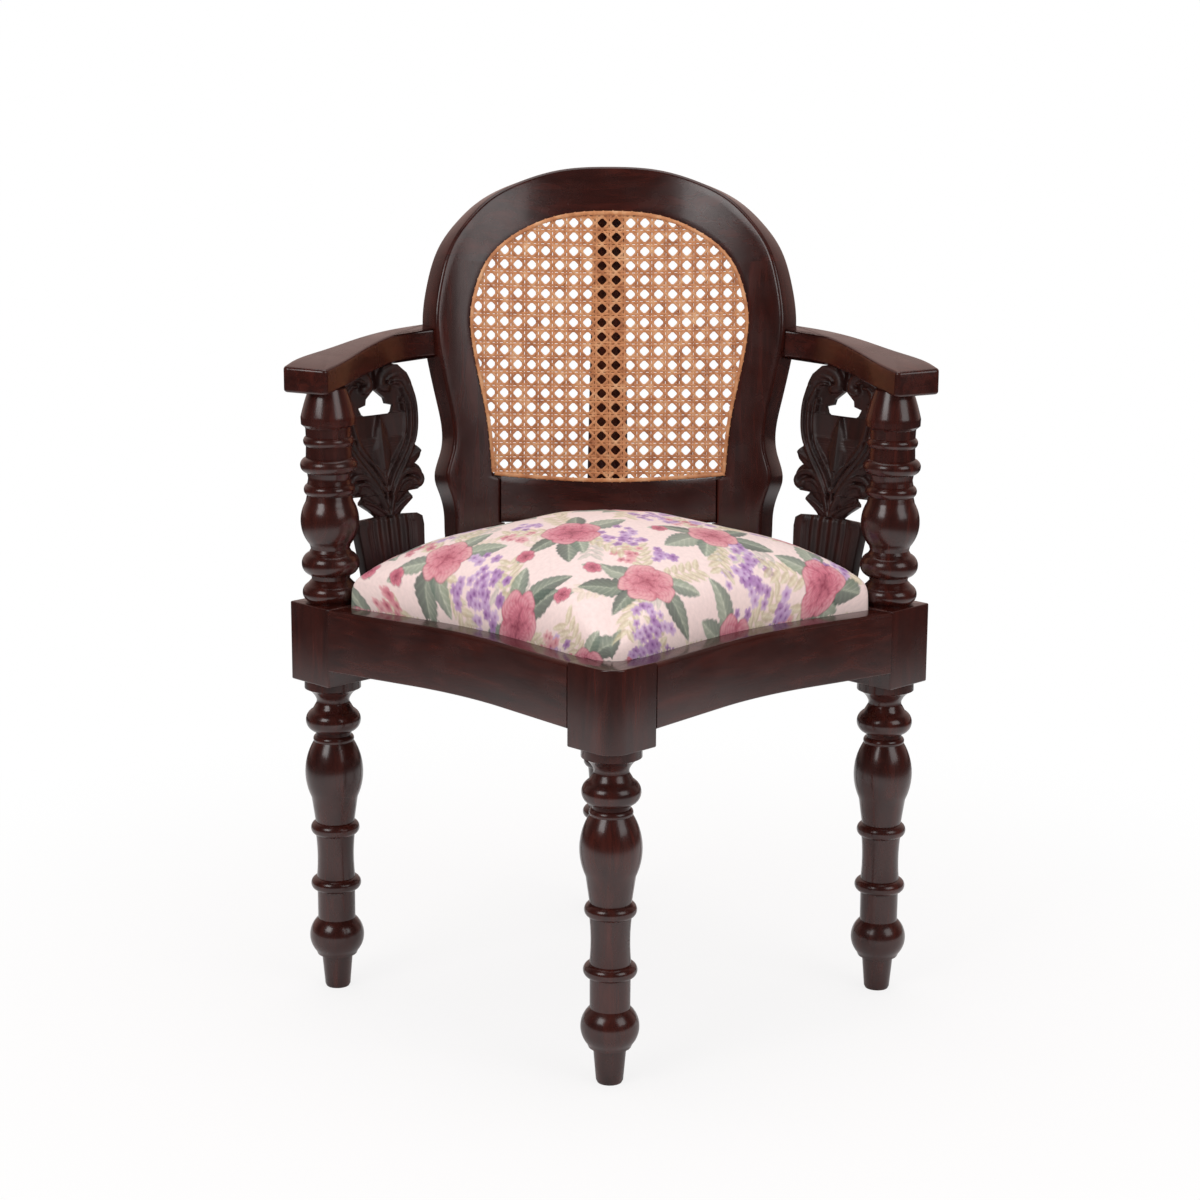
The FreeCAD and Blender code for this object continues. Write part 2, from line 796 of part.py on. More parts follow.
def splat_frame(shape):
    """Sets a board drawn in X and Z with its thickness along Y on the left rear rail, leaning outwards."""
    placed = shape.copy()
    placed.translate(V(splat_from_leg, 0, 0))
    placed.rotate(V(0, 0, 0), V(1, 0, 0), -splat_lean)
    far_x, far_y = end_block(rear_leg_y)
    heading = 45.0 - math.degrees(math.atan2(far_y, far_x))
    placed.translate(V(0, half_block - splat_inset, rail_top))
    placed.rotate(V(0, 0, 0), UP, heading)
    placed.translate(V(-side_leg_x, 0, 0))
    return placed


def splat_tenon(gap):
    """Upright tenon under the splat, or with a gap its mortise in the rail."""
    half = splat_tenon_width / 2
    thick = splat_tenon_thickness / 2
    tenon = box(grown((-half, half), gap), grown((-thick, thick), gap), (-splat_tenon_length - gap, 6.0))
    tenon.translate(V(splat_from_leg, 0, 0))
    far_x, far_y = end_block(rear_leg_y)
    heading = 45.0 - math.degrees(math.atan2(far_y, far_x))
    tenon.translate(V(0, half_block - splat_inset, rail_top))
    tenon.rotate(V(0, 0, 0), UP, heading)
    tenon.translate(V(-side_leg_x, 0, 0))
    return tenon


def board(edges):
    """Board from the right half of its outline."""
    half = Part.Wire(edges)
    left = half.mirror(V(0, 0, 0), V(1, 0, 0))
    face = Part.Face(Part.Wire(Part.sortEdges(half.Edges + left.Edges)[0]))
    solid = face.extrude(V(0, splat_thickness, 0))
    solid.translate(V(0, -splat_thickness / 2, 0))
    return solid


def make_left_splat():
    """Pierced splat between the rear rail and the arm."""
    upright = lambda x, z: V(x, 0, z)
    below = [(0.0, -20.0), (splat_outline[1][0], -20.0)]
    splat = board(stepped_edges(below + splat_outline[1:], upright))
    star = [(0.0, splat_opening[0][1])] + splat_opening
    star_half = stepped_edges(star, upright)
    opening = Part.Wire(star_half)
    twin = opening.mirror(V(0, 0, 0), V(1, 0, 0))
    hole = Part.Face(Part.Wire(Part.sortEdges(opening.Edges + twin.Edges)[0]))
    hole.translate(V(0, -splat_thickness, 0))
    splat = splat_frame(splat.cut(hole.extrude(V(0, 2 * splat_thickness, 0))))
    splat = splat.cut(box((-tall, tall), (-tall, tall), (-tall, rail_top)))
    splat = largest(splat.cut(arm_plane(arm_under, arm_under_slope)))
    return splat.fuse(splat_tenon(0)).removeSplitter()


# Drop-in seat

def seat_corners(inset, share=1.0, rear_share=1.0):
    """Corners of the seat's plan, moved in by inset and drawn in to shares about the middle."""
    low, bend, high = seat_line(front_leg_y, rail_bow, front_rim + seat_gap + inset)
    rear_low, _, rear_high = seat_line(rear_leg_y, 0, rear_rim + seat_gap + inset)
    slope_one = (bend.y - low.y) / (bend.x - low.x)
    slope_two = (high.y - bend.y) / (high.x - bend.x)
    front_x = (side_leg_x / DIAGONAL - (high.y - slope_two * high.x)) / (1 + slope_two)
    front = V(front_x, side_leg_x / DIAGONAL - front_x, 0)
    slope_rear = (rear_high.y - rear_low.y) / (rear_high.x - rear_low.x)
    rear_x = (side_leg_x / DIAGONAL - (rear_high.y - slope_rear * rear_high.x)) / (1 + slope_rear)
    rear = V(rear_x, side_leg_x / DIAGONAL - rear_x, 0)
    # the rear line is given on the mirrored axes, where x and y change places
    side_y = (rear_low.y + slope_rear * (low.y - slope_one * low.x - rear_low.x)) / (1 - slope_one * slope_rear)
    side = V(side_y, low.y + slope_one * (side_y - low.x), 0)
    to_chair = lambda p: ((p.x + p.y) * DIAGONAL - side_leg_x, (p.y - p.x) * DIAGONAL)
    front = to_chair(front)
    bend_at = to_chair(bend)
    side = to_chair(side)
    rear = (0.0, -to_chair(rear)[1])
    middle = (front[1] + rear[1]) / 2
    softer = seat_soft_round * (1 - share)
    drawn_in = lambda point, part: (point[0] * part, middle + (point[1] - middle) * part)
    front = (*drawn_in(front, share), seat_front_round * share + softer)
    bend_at = (*drawn_in(bend_at, share), (bend_radius + inset) * share)
    side = (*drawn_in(side, share), seat_side_round * share + softer)
    rear = (*drawn_in(rear, rear_share), seat_side_round * share + softer)
    right = [(-x, y, radius) for x, y, radius in (side, bend_at)]
    return [front, bend_at, side, rear] + right


def seat_notches(gap):
    """Room for the two arm posts' blocks and for the rear block, in the seat's plan."""
    reach = half_block + seat_gap + gap
    around = box((-reach, reach), (-reach, reach), (0, tall))
    left = from_left_block(around)
    behind = rear_leg_y - block_side * DIAGONAL - seat_gap - gap
    return [left, mirrored(left), box((-tall, tall), (behind, tall), (0, tall))]


def notched(shape, gap):
    for notch in seat_notches(gap):
        shape = shape.cut(notch)
    return shape


def crowned(inset, bottom, drop):
    """Crowned solid over the seat's plan: upright sides, then drawn in over the crown."""
    sides = prism(seat_corners(inset), bottom, rail_top + seat_lip - drop)
    wires = []
    for height, share, rear_share in [(seat_lip, 1.0, 1.0)] + crown:
        wire = rounded_outline(seat_corners(inset, share, rear_share))
        wire.translate(V(0, 0, rail_top + height - drop))
        wires.append(wire)
    return notched(sides.fuse(Part.makeLoft(wires, True, False)), inset)


seat_bottom = ledge + soft_gap
bar_bottom = seat_bottom + cloth_thickness + soft_gap
bar_top = bar_bottom + seat_bar_height
web_low = bar_top
web_high = web_low + web_thickness
hessian_low = web_high + web_thickness
pad_bottom = hessian_low + hessian_thickness + soft_gap
bottom_cloth_low = bar_bottom - soft_gap - hessian_thickness


def make_cover():
    """Fabric cover: a skin over the pad and round the bars, hemmed underneath."""
    skin = crowned(0, seat_bottom, 0)
    skin = skin.cut(crowned(cloth_thickness, seat_bottom + cloth_thickness, cloth_thickness))
    under = notched(prism(seat_corners(hem_width), ledge, bar_bottom), hem_width)
    return skin.cut(under)


def make_seat_bars():
    """Four bars mitred on the seat's corners, the frame of the drop-in seat."""
    inset = cloth_thickness + soft_gap
    frame = notched(prism(seat_corners(inset), bar_bottom, bar_top), inset)
    frame = frame.cut(prism(seat_corners(inset + seat_bar_width), bar_bottom - 1.0, bar_top + 1.0))
    left = frame.common(box((-tall, 0), (-tall, tall), (0, tall)))
    front = largest(left.common(box((-tall, 0), (-tall, 0), (0, tall))))
    rear = largest(left.common(box((-tall, 0), (0, tall), (0, tall))))
    return front, rear


def make_webbing(upper):
    """One layer of straps, parallel to two of the seat's sides, with their ends on the bars."""
    low = web_high if upper else web_low
    middle = side_leg_x * DIAGONAL
    straps = []
    for index in range(web_count):
        across = middle + (index - (web_count - 1) / 2) * web_pitch
        along = (-tall, tall)
        band = (across - web_width / 2, across + web_width / 2)
        sides = (band, along) if upper else (along, band)
        straps.append(from_left_block(box(*sides, (low, low + web_thickness))))
    inset = cloth_thickness + soft_gap + seat_bar_width / 4
    reach = notched(prism(seat_corners(inset), bar_top, bar_top + 20.0), inset)
    return Part.makeCompound([reach.common(strap) for strap in straps])


def make_sheet(inset, low, thickness):
    """Flat cloth cut to the seat's plan."""
    return notched(prism(seat_corners(inset), low, low + thickness), inset)


def make_hessian():
    """Cloth over the straps, trimmed to stay under the crown."""
    return make_sheet(hessian_inset, hessian_low, hessian_thickness).common(crowned(hessian_inset, seat_bottom, 0))


# Corner blocks

def corner_prism():
    """Three-cornered block in the angle of two rails, on its own block's axes."""
    top = ledge - corner_block_drop
    corners = [(0, 0, 0), (corner_block_reach, 0, 0), (0, corner_block_reach, 0)]
    return prism(corners, top - corner_block_height, top)


def corner_block(x, y, turn, neighbours):
    """Corner block fitted against its leg and its two rails."""
    block = corner_prism()
    block.rotate(V(0, 0, 0), UP, turn)
    block.translate(V(x, y, 0))
    for neighbour in neighbours:
        block = block.cut(neighbour)
    return largest(block)


def corner_screws(x, y, turn, gap):
    """Two screws driven through a corner block into the leg, one above the other."""
    level = ledge - corner_block_drop - corner_block_height / 2
    face = corner_block_reach * DIAGONAL
    heading = math.radians(turn + 45)
    inward = V(-math.cos(heading), -math.sin(heading), 0)
    made = []
    for step in (-0.5, 0.5):
        start = V(x, y, level + step * screw_spacing) - inward * face
        shank = cylinder(start, inward, screw_radius + gap, screw_length + gap)
        head = cylinder(start - inward * screw_head_height, inward, screw_head_radius, screw_head_height)
        made.append(shank if gap else shank.fuse(head).removeSplitter())
    return made


def save(shapes):
    """Writes one file per piece and prints what it holds."""
    os.makedirs("parts", exist_ok=True)
    for name, shape in shapes.items():
        shape.exportStep("parts/" + name + ".step")
        print(name, len(shape.Solids), "solids", round(shape.Volume / 1000.0, 1), "cm3", shape.isValid())


def main():
    left_leg = make_left_leg()
    right_leg = mirrored(left_leg)
    front_leg = make_front_leg()
    rear_leg = make_rear_leg()
    front_rail = left_rail(front_leg_y, rail_bow, front_rail_width, front_rim)
    rear_rail = turned_back(left_rail(rear_leg_y, 0, rear_rail_width, rear_rim))
    rear_rail = rear_rail.cut(stile_tenon(joint_gap)).cut(splat_tenon(joint_gap))
    holes = back_dowels(joint_gap)
    stile = make_left_stile(holes).cut(arm_dowel(joint_gap))
    arm = make_left_arm()
    splat = make_left_splat()
    rails = [front_rail, mirrored(front_rail), rear_rail, mirrored(rear_rail)]

    corners = {
        "front": (0, -front_leg_y, 45, [rails[0], rails[1], front_leg]),
        "rear": (0, rear_leg_y, 225, [rails[2], rails[3], rear_leg]),
        "left": (-side_leg_x, 0, -45, [rails[0], rails[2], left_leg]),
        "right": (side_leg_x, 0, 135, [rails[1], rails[3], right_leg]),
    }
    legs = {"front": front_leg, "rear": rear_leg, "left": left_leg, "right": right_leg}
    blocks = {}
    screws = []
    for name, (x, y, turn, neighbours) in corners.items():
        block = corner_block(x, y, turn, neighbours)
        for hole in corner_screws(x, y, turn, joint_gap):
            block = block.cut(hole)
            legs[name] = legs[name].cut(hole)
        blocks[name + "_corner_block"] = block
        screws += corner_screws(x, y, turn, 0)

    bar_front, bar_rear = make_seat_bars()
    inside = cloth_thickness + soft_gap
    pieces = {name + "_leg": leg for name, leg in legs.items()}
    pieces.update({
        "front_left_rail": rails[0],
        "front_right_rail": rails[1],
        "rear_left_rail": rails[2],
        "rear_right_rail": rails[3],
        "crest_rail": make_crest(holes, rear_leg),
        "left_back_stile": stile,
        "right_back_stile": mirrored(stile),
        "back_bottom_rail": back_place(drilled(back_rail_blank, holes)),
        "back_dowels": Part.makeCompound([back_place(dowel) for dowel in back_dowels(0)]),
        "cane_panel": make_cane_panel(),
        "cane_binding": make_binding(),
        "left_arm": arm,
        "right_arm": mirrored(arm),
        "arm_dowels": Part.makeCompound([arm_dowel(0), mirrored(arm_dowel(0))]),
        "left_splat": splat,
        "right_splat": mirrored(splat),
        "corner_block_screws": Part.makeCompound(screws),
        "seat_bar_front_left": bar_front,
        "seat_bar_front_right": mirrored(bar_front),
        "seat_bar_rear_left": bar_rear,
        "seat_bar_rear_right": mirrored(bar_rear),
        "seat_webbing_lower": make_webbing(False),
        "seat_webbing_upper": make_webbing(True),
        "seat_hessian": make_hessian(),
        "seat_pad": crowned(inside, seat_bottom, inside).cut(box((-tall, tall), (-tall, tall), (0, pad_bottom))),
        "seat_cover": make_cover(),
        "seat_bottom_cloth": make_sheet(hem_width + soft_gap, bottom_cloth_low, hessian_thickness),
    })
    pieces.update(blocks)
    save(pieces)


main()
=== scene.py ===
# %% [markdown]
# A corner armchair on a white studio floor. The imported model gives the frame: where every solid sits
# and which pieces move together. The visible pieces are then rebuilt as smooth surfaces worked out with
# numpy, in millimetres, and put in the place of the plain solids.

# %% Load the frame
import math
import bmesh
import bpy
import numpy as np
from mathutils import Matrix


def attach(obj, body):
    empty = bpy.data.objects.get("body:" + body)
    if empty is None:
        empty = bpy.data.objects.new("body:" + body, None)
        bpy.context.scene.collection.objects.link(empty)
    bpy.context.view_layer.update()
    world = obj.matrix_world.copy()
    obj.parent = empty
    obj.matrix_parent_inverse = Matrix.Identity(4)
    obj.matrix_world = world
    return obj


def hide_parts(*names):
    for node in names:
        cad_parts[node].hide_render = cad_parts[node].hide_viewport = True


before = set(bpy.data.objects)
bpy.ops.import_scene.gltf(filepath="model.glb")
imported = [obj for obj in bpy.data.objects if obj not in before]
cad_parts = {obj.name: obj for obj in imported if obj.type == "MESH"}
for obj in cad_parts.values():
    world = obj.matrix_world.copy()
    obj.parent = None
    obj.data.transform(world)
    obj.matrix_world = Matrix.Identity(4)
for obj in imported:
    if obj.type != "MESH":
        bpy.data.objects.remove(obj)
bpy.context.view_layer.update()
MM = 0.001

# %% [markdown]
# Every piece below is one or more grids of points. Neighbouring points become quads, doubled points at
# seams and poles are merged, and the mesh is turned to face outwards. A UV map could carry the wood
# grain, but a turned leg is cut out of a solid plank, so each wooden piece instead stores, at every
# point, its place in that plank: the first number runs along the grain.

# %% Points to meshes
merge_within = 2e-6
sliver_length = 1e-6
usual_crease = 38.0


def make_mesh(name, grids, extra=None):
    """Joins grids of points (rows, columns, 3) in millimetres into one closed mesh of quads.

    extra holds named values per point, in the order of the grids' points.
    """
    points = np.concatenate([grid.reshape(-1, 3) for grid in grids]) * MM
    quads = []
    first = 0
    for grid in grids:
        index = np.arange(grid.shape[0] * grid.shape[1]).reshape(grid.shape[:2]) + first
        corners = [index[:-1, :-1], index[1:, :-1], index[1:, 1:], index[:-1, 1:]]
        quads.append(np.stack(corners, -1).reshape(-1, 4))
        first += index.size
    mesh = bpy.data.meshes.new(name)
    mesh.from_pydata(points, [], np.concatenate(quads).tolist())
    for key, values in (extra or {}).items():
        kind, field_name = ("FLOAT_COLOR", "color") if values.shape[1] == 4 else ("FLOAT_VECTOR", "vector")
        mesh.attributes.new(key, kind, "POINT").data.foreach_set(field_name, values.ravel())
    shell = bmesh.new()
    shell.from_mesh(mesh)
    bmesh.ops.remove_doubles(shell, verts=shell.verts, dist=merge_within)
    bmesh.ops.dissolve_degenerate(shell, dist=sliver_length, edges=shell.edges)
    bmesh.ops.recalc_face_normals(shell, faces=shell.faces)
    shell.to_mesh(mesh)
    shell.free()
    return mesh


# %% Meshes to pieces
def make_piece(name, grids, material, body, nodes, grain=None, crease=usual_crease, extra=None):
    """One smooth piece that rides on a body and stands for CAD nodes."""
    mesh = make_mesh(name, grids, extra)
    mesh.polygons.foreach_set("use_smooth", np.ones(len(mesh.polygons), bool))
    mesh.set_sharp_from_angle(angle=math.radians(crease))
    if grain is not None:
        store_grain(mesh, np.array(grain, float), name)
    mesh.materials.append(material)
    piece = bpy.data.objects.new(name, mesh)
    bpy.context.collection.objects.link(piece)
    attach(piece, body)
    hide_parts(*nodes)
    print(name, len(mesh.polygons), "faces")
    return piece


def positions(mesh):
    """All vertex positions of a mesh as one array."""
    found = np.empty(len(mesh.vertices) * 3)
    mesh.vertices.foreach_get("co", found)
    return found.reshape(-1, 3)


def store_grain(mesh, along, name):
    """Place in the plank: the position turned so that its first number runs along the grain.

    A shift worked out from the piece's name keeps two pieces from showing the same spot of the plank.
    """
    along = along / np.linalg.norm(along)
    side = np.cross(along, [0.0, 0.0, 1.0] if abs(along[2]) < 0.9 else [1.0, 0.0, 0.0])
    side = side / np.linalg.norm(side)
    plank = positions(mesh) @ np.stack([along, side, np.cross(along, side)], 1)
    plank += 0.37 * sum(map(ord, name)) % 7.0
    mesh.attributes.new("grain", "FLOAT_VECTOR", "POINT").data.foreach_set("vector", plank.ravel())


# %% [markdown]
# A material is a small graph. One function adds a node, sets its values and links its inputs; colours are
# written as the hex values a painter would note down and turned to linear light.

# %% Material helpers
def linear(code):
    """sRGB hex to linear RGB: the standard curve, with its straight foot below 0.04045."""
    value = np.array([int(code[i:i + 2], 16) for i in (1, 3, 5)]) / 255
    return np.where(value <= 0.04045, value / 12.92, ((value + 0.055) / 1.055) ** 2.4)


def rgba(code):
    """Hex colour as linear red, green and blue with full cover."""
    return (*linear(code), 1.0)


def node(tree, kind, links=None, **settings):
    """Adds a node; settings name its properties or, as in_NAME or in_NUMBER, its input values."""
    made = tree.nodes.new(kind)
    for key, value in settings.items():
        if key.startswith("in_"):
            name = key[3:]
            made.inputs[int(name) if name.isdigit() else name.replace("_", " ")].default_value = value
        else:
            setattr(made, key, value)
    for name, source in (links or {}).items():
        tree.links.new(source, made.inputs[name])
    return made


def new_material(name):
    """Empty material with a principled shader linked to its output."""
    material = bpy.data.materials.new(name)
    material.use_nodes = True
    tree = material.node_tree
    tree.nodes.clear()
    shader = node(tree, "ShaderNodeBsdfPrincipled")
    node(tree, "ShaderNodeOutputMaterial", {"Surface": shader.outputs[0]})
    return material, tree, shader


def ramp(tree, source, stops):
    """Colour ramp through (place, hex) stops."""
    made = node(tree, "ShaderNodeValToRGB", {"Fac": source})
    elements = made.color_ramp.elements
    while len(elements) < len(stops):
        elements.new(0.5)
    for element, (place, code) in zip(elements, stops):
        element.position = place
        element.color = rgba(code)
    return made.outputs["Color"]


# %% [markdown]
# The wood is a dark tropical hardwood, stained: nearly black in the shade, red-brown where the grain opens.
# It has three finishes. The frame is French polished, a thin clear film with long soft highlights; the
# carved splats are waxed, so their hollows stay dull, and their tones are darker than the frame's as painted
# shade; the blocks and bars that don't show are left bare.
# Growth bands are a few millimetres wide across the grain and run some ten times as far along it, and the
# pores are fine dashes. A photograph of wood could be laid on, but noise that is squeezed along the grain
# runs through the whole piece, as real grain does.

# %% Three finishes of one hardwood
def hardwood(name, dark, middle, red, use_attribute, gloss, film):
    """Bands from noise squeezed along the grain, pores from finer noise, and a clear film on top.

    gloss gives the least and the greatest roughness, film the weight of the clear coat.
    """
    material, tree, shader = new_material(name)
    if use_attribute:
        place = node(tree, "ShaderNodeAttribute", attribute_name="grain").outputs["Vector"]
    else:
        place = node(tree, "ShaderNodeTexCoord").outputs["Object"]
    band_width, band_length = 0.006, 0.09
    squeezed = node(tree, "ShaderNodeMapping", {"Vector": place},
                    in_Scale=(1 / band_length, 1 / band_width / 2, 1 / band_width / 2)).outputs[0]
    bands = node(tree, "ShaderNodeTexNoise", {"Vector": squeezed}, in_Scale=1.0, in_Detail=5.0,
                 in_Roughness=0.6, in_Distortion=0.6).outputs[0]
    colour = ramp(tree, bands, [(0.30, dark), (0.52, middle), (0.74, red)])
    pore_width, pore_length = 0.0009, 0.012
    dashes = node(tree, "ShaderNodeMapping", {"Vector": place},
                  in_Scale=(1 / pore_length, 1 / pore_width, 1 / pore_width)).outputs[0]
    pores = node(tree, "ShaderNodeTexNoise", {"Vector": dashes}, in_Scale=1.0, in_Detail=2.0).outputs[0]
    rubs_per_metre = 28.0
    rub = node(tree, "ShaderNodeTexNoise", {"Vector": place}, in_Scale=rubs_per_metre,
               in_Detail=3.0).outputs[0]
    rough = node(tree, "ShaderNodeMapRange", {"Value": rub}, in_1=0.3, in_2=0.7, in_3=gloss[0],
                 in_4=gloss[1]).outputs[0]
    bump = node(tree, "ShaderNodeBump", {"Height": pores}, in_Strength=0.10, in_Distance=0.0004).outputs[0]
    tree.links.new(colour, shader.inputs["Base Color"])
    tree.links.new(rough, shader.inputs["Roughness"])
    tree.links.new(bump, shader.inputs["Normal"])
    shader.inputs["IOR"].default_value = 1.5
    shader.inputs["Coat Weight"].default_value = film
    shader.inputs["Coat Roughness"].default_value = 0.1
    return material


wood = hardwood("polished_hardwood", "#280e0b", "#36140f", "#481c15", True, (0.18, 0.30), 0.2)
# The splats' copy of the hardwood has darker tones than the frame's: painted shade.
carved_wood_with_painted_shade = hardwood("waxed_hardwood_with_painted_shade", "#210c09", "#2d110d", "#3c1812", True, (0.36, 0.52), 0.0)
plain_wood = hardwood("unpolished_hardwood", "#5b3a26", "#6f4a31", "#83593b", False, (0.55, 0.75), 0.0)
print("materials", wood.name, carved_wood_with_painted_shade.name, plain_wood.name)

# %% [markdown]
# Turned work is a profile spun round an axis. The profile is written as a turner reads it: straight runs,
# and beads, coves and vases as arcs given by their middle and end. Spinning it could be left to a Screw
# modifier, but one outer product of radius and angle gives the same grid with clean poles.

# %% Profiles and lathe work
def arc(start, middle, end, count):
    """Points on the circle through three points; its centre is where the chords' bisectors meet."""
    start, middle, end = (np.asarray(p, float) for p in (start, middle, end))
    chords = 2 * np.array([middle - start, end - start])
    squares = [middle @ middle - start @ start, end @ end - start @ start]
    centre = np.linalg.solve(chords, squares)
    turns = np.unwrap([math.atan2(*(p - centre)[::-1]) for p in (start, middle, end)])
    sweep = np.linspace(turns[0], turns[2], count)
    return centre + np.linalg.norm(start - centre) * np.stack([np.cos(sweep), np.sin(sweep)], 1)


def profile(steps, per_arc=14):
    """Polyline through steps of two values, or four for an arc's middle and end."""
    runs = [np.array([steps[0]], float)]
    for step in steps[1:]:
        start = runs[-1][-1]
        if len(step) == 4:
            runs.append(arc(start, step[:2], step[2:], per_arc)[1:])
        else:
            runs.append(start + (np.array(step) - start) * np.linspace(0, 1, 4)[1:, None])
    return np.concatenate(runs)


def lathe(levels_and_radii, x, y, around=72):
    """Radius times the cosine and sine of the turn, at each level; both ends close on the axis."""
    line = levels_and_radii
    line = np.concatenate([[[line[0, 0], 0.0]], line, [[line[-1, 0], 0.0]]])
    turn = np.linspace(0, 2 * np.pi, around + 1)
    ring = np.stack([np.cos(turn), np.sin(turn), np.zeros_like(turn)], 1)
    grid = line[:, 1, None, None] * ring
    grid[..., 2] = line[:, 0, None]
    return grid + np.array([x, y, 0.0])


# %% Rounded outlines and prisms
def rounded(corners, per_arc=9, closed=True):
    """Polyline along straight sides with a tangent arc of each corner's radius."""
    spots = np.array([c[:2] for c in corners], float)
    radii = np.array([c[2] for c in corners], float)
    back = np.roll(spots, 1, 0) - spots
    on = np.roll(spots, -1, 0) - spots
    back = back / np.linalg.norm(back, axis=1)[:, None]
    on = on / np.linalg.norm(on, axis=1)[:, None]
    runs = []
    for spot, radius, b, o in zip(spots, radii, back, on):
        half = math.acos(np.clip(b @ o, -1, 1)) / 2
        if radius == 0:
            runs.append(spot[None])
            continue
        bisector = (b + o) / np.linalg.norm(b + o)
        middle = spot + bisector * (radius / math.sin(half) - radius)
        reach = radius / math.tan(half)
        runs.append(arc(spot + b * reach, middle, spot + o * reach, per_arc))
    if closed:
        runs.append(runs[0][:1])
    return np.concatenate(runs)


def outward(outline):
    """Unit normals of a closed plan outline, pointing out of it."""
    ring = outline[:-1]
    tangent = np.roll(ring, -1, 0) - np.roll(ring, 1, 0)
    normal = np.stack([tangent[:, 1], -tangent[:, 0]], 1)
    normal = normal / np.linalg.norm(normal, axis=1)[:, None]
    after = np.roll(ring, -1, 0)
    area = (ring[:, 0] * after[:, 1] - after[:, 0] * ring[:, 1]).sum()
    normal = normal * np.sign(area)
    return np.concatenate([normal, normal[:1]])


def upright(outline, low, high, edge, middle=None):
    """Outline carried from low to high, drawn in on a quarter circle at both ends, closed on its middle."""
    turn = np.linspace(0, np.pi / 2, 6)
    inset = np.r_[edge * (1 - np.sin(turn)), edge * (1 - np.cos(turn))]
    level = np.r_[low + edge * (1 - np.cos(turn)), high - edge * (1 - np.sin(turn))]
    plan = outline[None] - outward(outline)[None] * inset[:, None, None]
    grid = np.concatenate([plan, np.broadcast_to(level[:, None, None], plan.shape[:2] + (1,))], 2)
    centre = np.array(outline[:-1].mean(0) if middle is None else middle)
    caps = [np.broadcast_to(np.append(centre, z), (1,) + grid.shape[1:]) for z in (low, high)]
    return np.concatenate([caps[0], grid, caps[1]])


# %% [markdown]
# The four legs share one turning under a square block set cornerwise. The side legs go on above the
# block as arm posts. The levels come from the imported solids; the steps are the profile's own sizes.

# %% Sizes of the legs and rails
side_x = 285.0
front_y = 255.0
block_half = 30.0
block_low, block_high = 334.0, 416.0
block_edge, block_arris, outer_round, rebate_round = 2.0, 1.6, 20.0, 26.0
rail_low, rail_high, ledge = 351.5, 415.0, 397.0
rail_bow, bend_round = 24.0, 420.0
rail_arris, rail_top_round = 1.5, 4.5
front_rim, rear_rim = 25.0, 44.0
front_rail_width, rear_rail_width = 44.0, 56.0
rear_post_top, rear_post_foot, rear_post_head = 788.0, 24.0, 17.0
cos45 = math.sqrt(0.5)
arm_under, arm_under_slope = 635.3, 0.08
arm_thick, arm_top_slope = 26.6, 0.104
print("legs", 2 * side_x, "mm apart, seat rails", rail_high, "mm high")

# %% Turned profiles
# Each step is a distance along the axis and a radius; four numbers are an arc's middle and its end.
# Legs run down from the block, feet down to the floor, posts up from the block, heads down from the arm.
leg_steps = [(0, 29.0), (8.4, 29.1), (13, 22.0, 21, 16.9), (24, 16.9), (32, 21.5), (42.6, 28.4, 55.4, 17.9),
             (59, 18.2), (62.5, 21.0, 65.5, 20.5), (87, 28.9, 126, 24.0), (152.5, 20.2),
             (159.5, 25.3, 166.5, 20.3), (190, 18.9, 213, 20.0), (220, 26.1, 227, 19.6)]
foot_steps = [(76, 19.5), (56, 28.4, 39.8, 22.1), (36.4, 20.7), (36.2, 16.2), (2.5, 13.2), (0, 12.0)]
post_steps = [(0, 24.0), (2, 25.0), (11.5, 29.0, 19, 24.0), (24, 19.4), (28, 20.0), (40.5, 29.5, 51.5, 22.0),
              (55.5, 19.8), (60, 21.0), (78, 29.3, 104, 24.4), (111, 22.9), (117, 26.0, 122.5, 22.4),
              (128, 21.4), (134, 22.5), (142.5, 29.2, 149.5, 23.4)]
head_steps = [(58.5, 23.0), (53.5, 25.7, 48.5, 23.0), (39.5, 23.4), (36, 27.6), (29, 27.9),
              (15, 24.2, 0, 19.2)]
print("steps", len(leg_steps), "leg", len(foot_steps), "foot", len(post_steps) + len(head_steps), "arm post")


# %% Legs
def leg_turning(x, y):
    """Profile from the block's underside to the floor."""
    upper = profile(leg_steps) * [-1, 1] + [block_low, 0]
    return lathe(np.concatenate([upper, profile(foot_steps)]), x, y)


def cornerwise(grid, x, y, turn):
    """Turns a grid about the upright axis and sets it at a leg."""
    c, s = math.cos(turn), math.sin(turn)
    turned = grid @ np.array([[c, s, 0.0], [-s, c, 0.0], [0.0, 0.0, 1.0]])
    return turned + np.array([x, y, 0.0])


def block(x, y, turn, outer_radius):
    """Square block with softened edges; its outer corner has its own radius."""
    b = block_half
    outline = rounded([(-b, -b, outer_radius), (b, -b, block_edge), (b, b, block_edge), (-b, b, block_edge)])
    return cornerwise(upright(outline, block_low, block_high, block_arris), x, y, turn)


def front_block():
    """The front block has the seat's rebate in its inner corner, so it is a full prism under an L."""
    b, step = block_half, front_rim - block_half
    inset = 2.0
    core = rounded([(-b + inset, -b + inset, outer_round - inset), (b - 1, -b + inset, block_edge),
                    (b, b, block_edge), (-b + inset, b - 1, block_edge)])
    ell = rounded([(-b, -b, outer_round), (b, -b, block_edge), (b, step, 1.0), (step, step, rebate_round),
                   (step, b, 1.0), (-b, b, block_edge)])
    below = upright(core, block_low + 0.2, ledge, 1.0)
    above = upright(ell, block_low, block_high, block_arris, middle=(-b + 12, -b + 12))
    return [cornerwise(part, 0, -front_y, math.pi / 4) for part in (below, above)]


def wooden(name, grids, node_name, grain, finish=wood, crease=usual_crease):
    """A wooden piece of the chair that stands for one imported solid."""
    make_piece(name, grids, finish, "chair", [node_name], grain, crease)


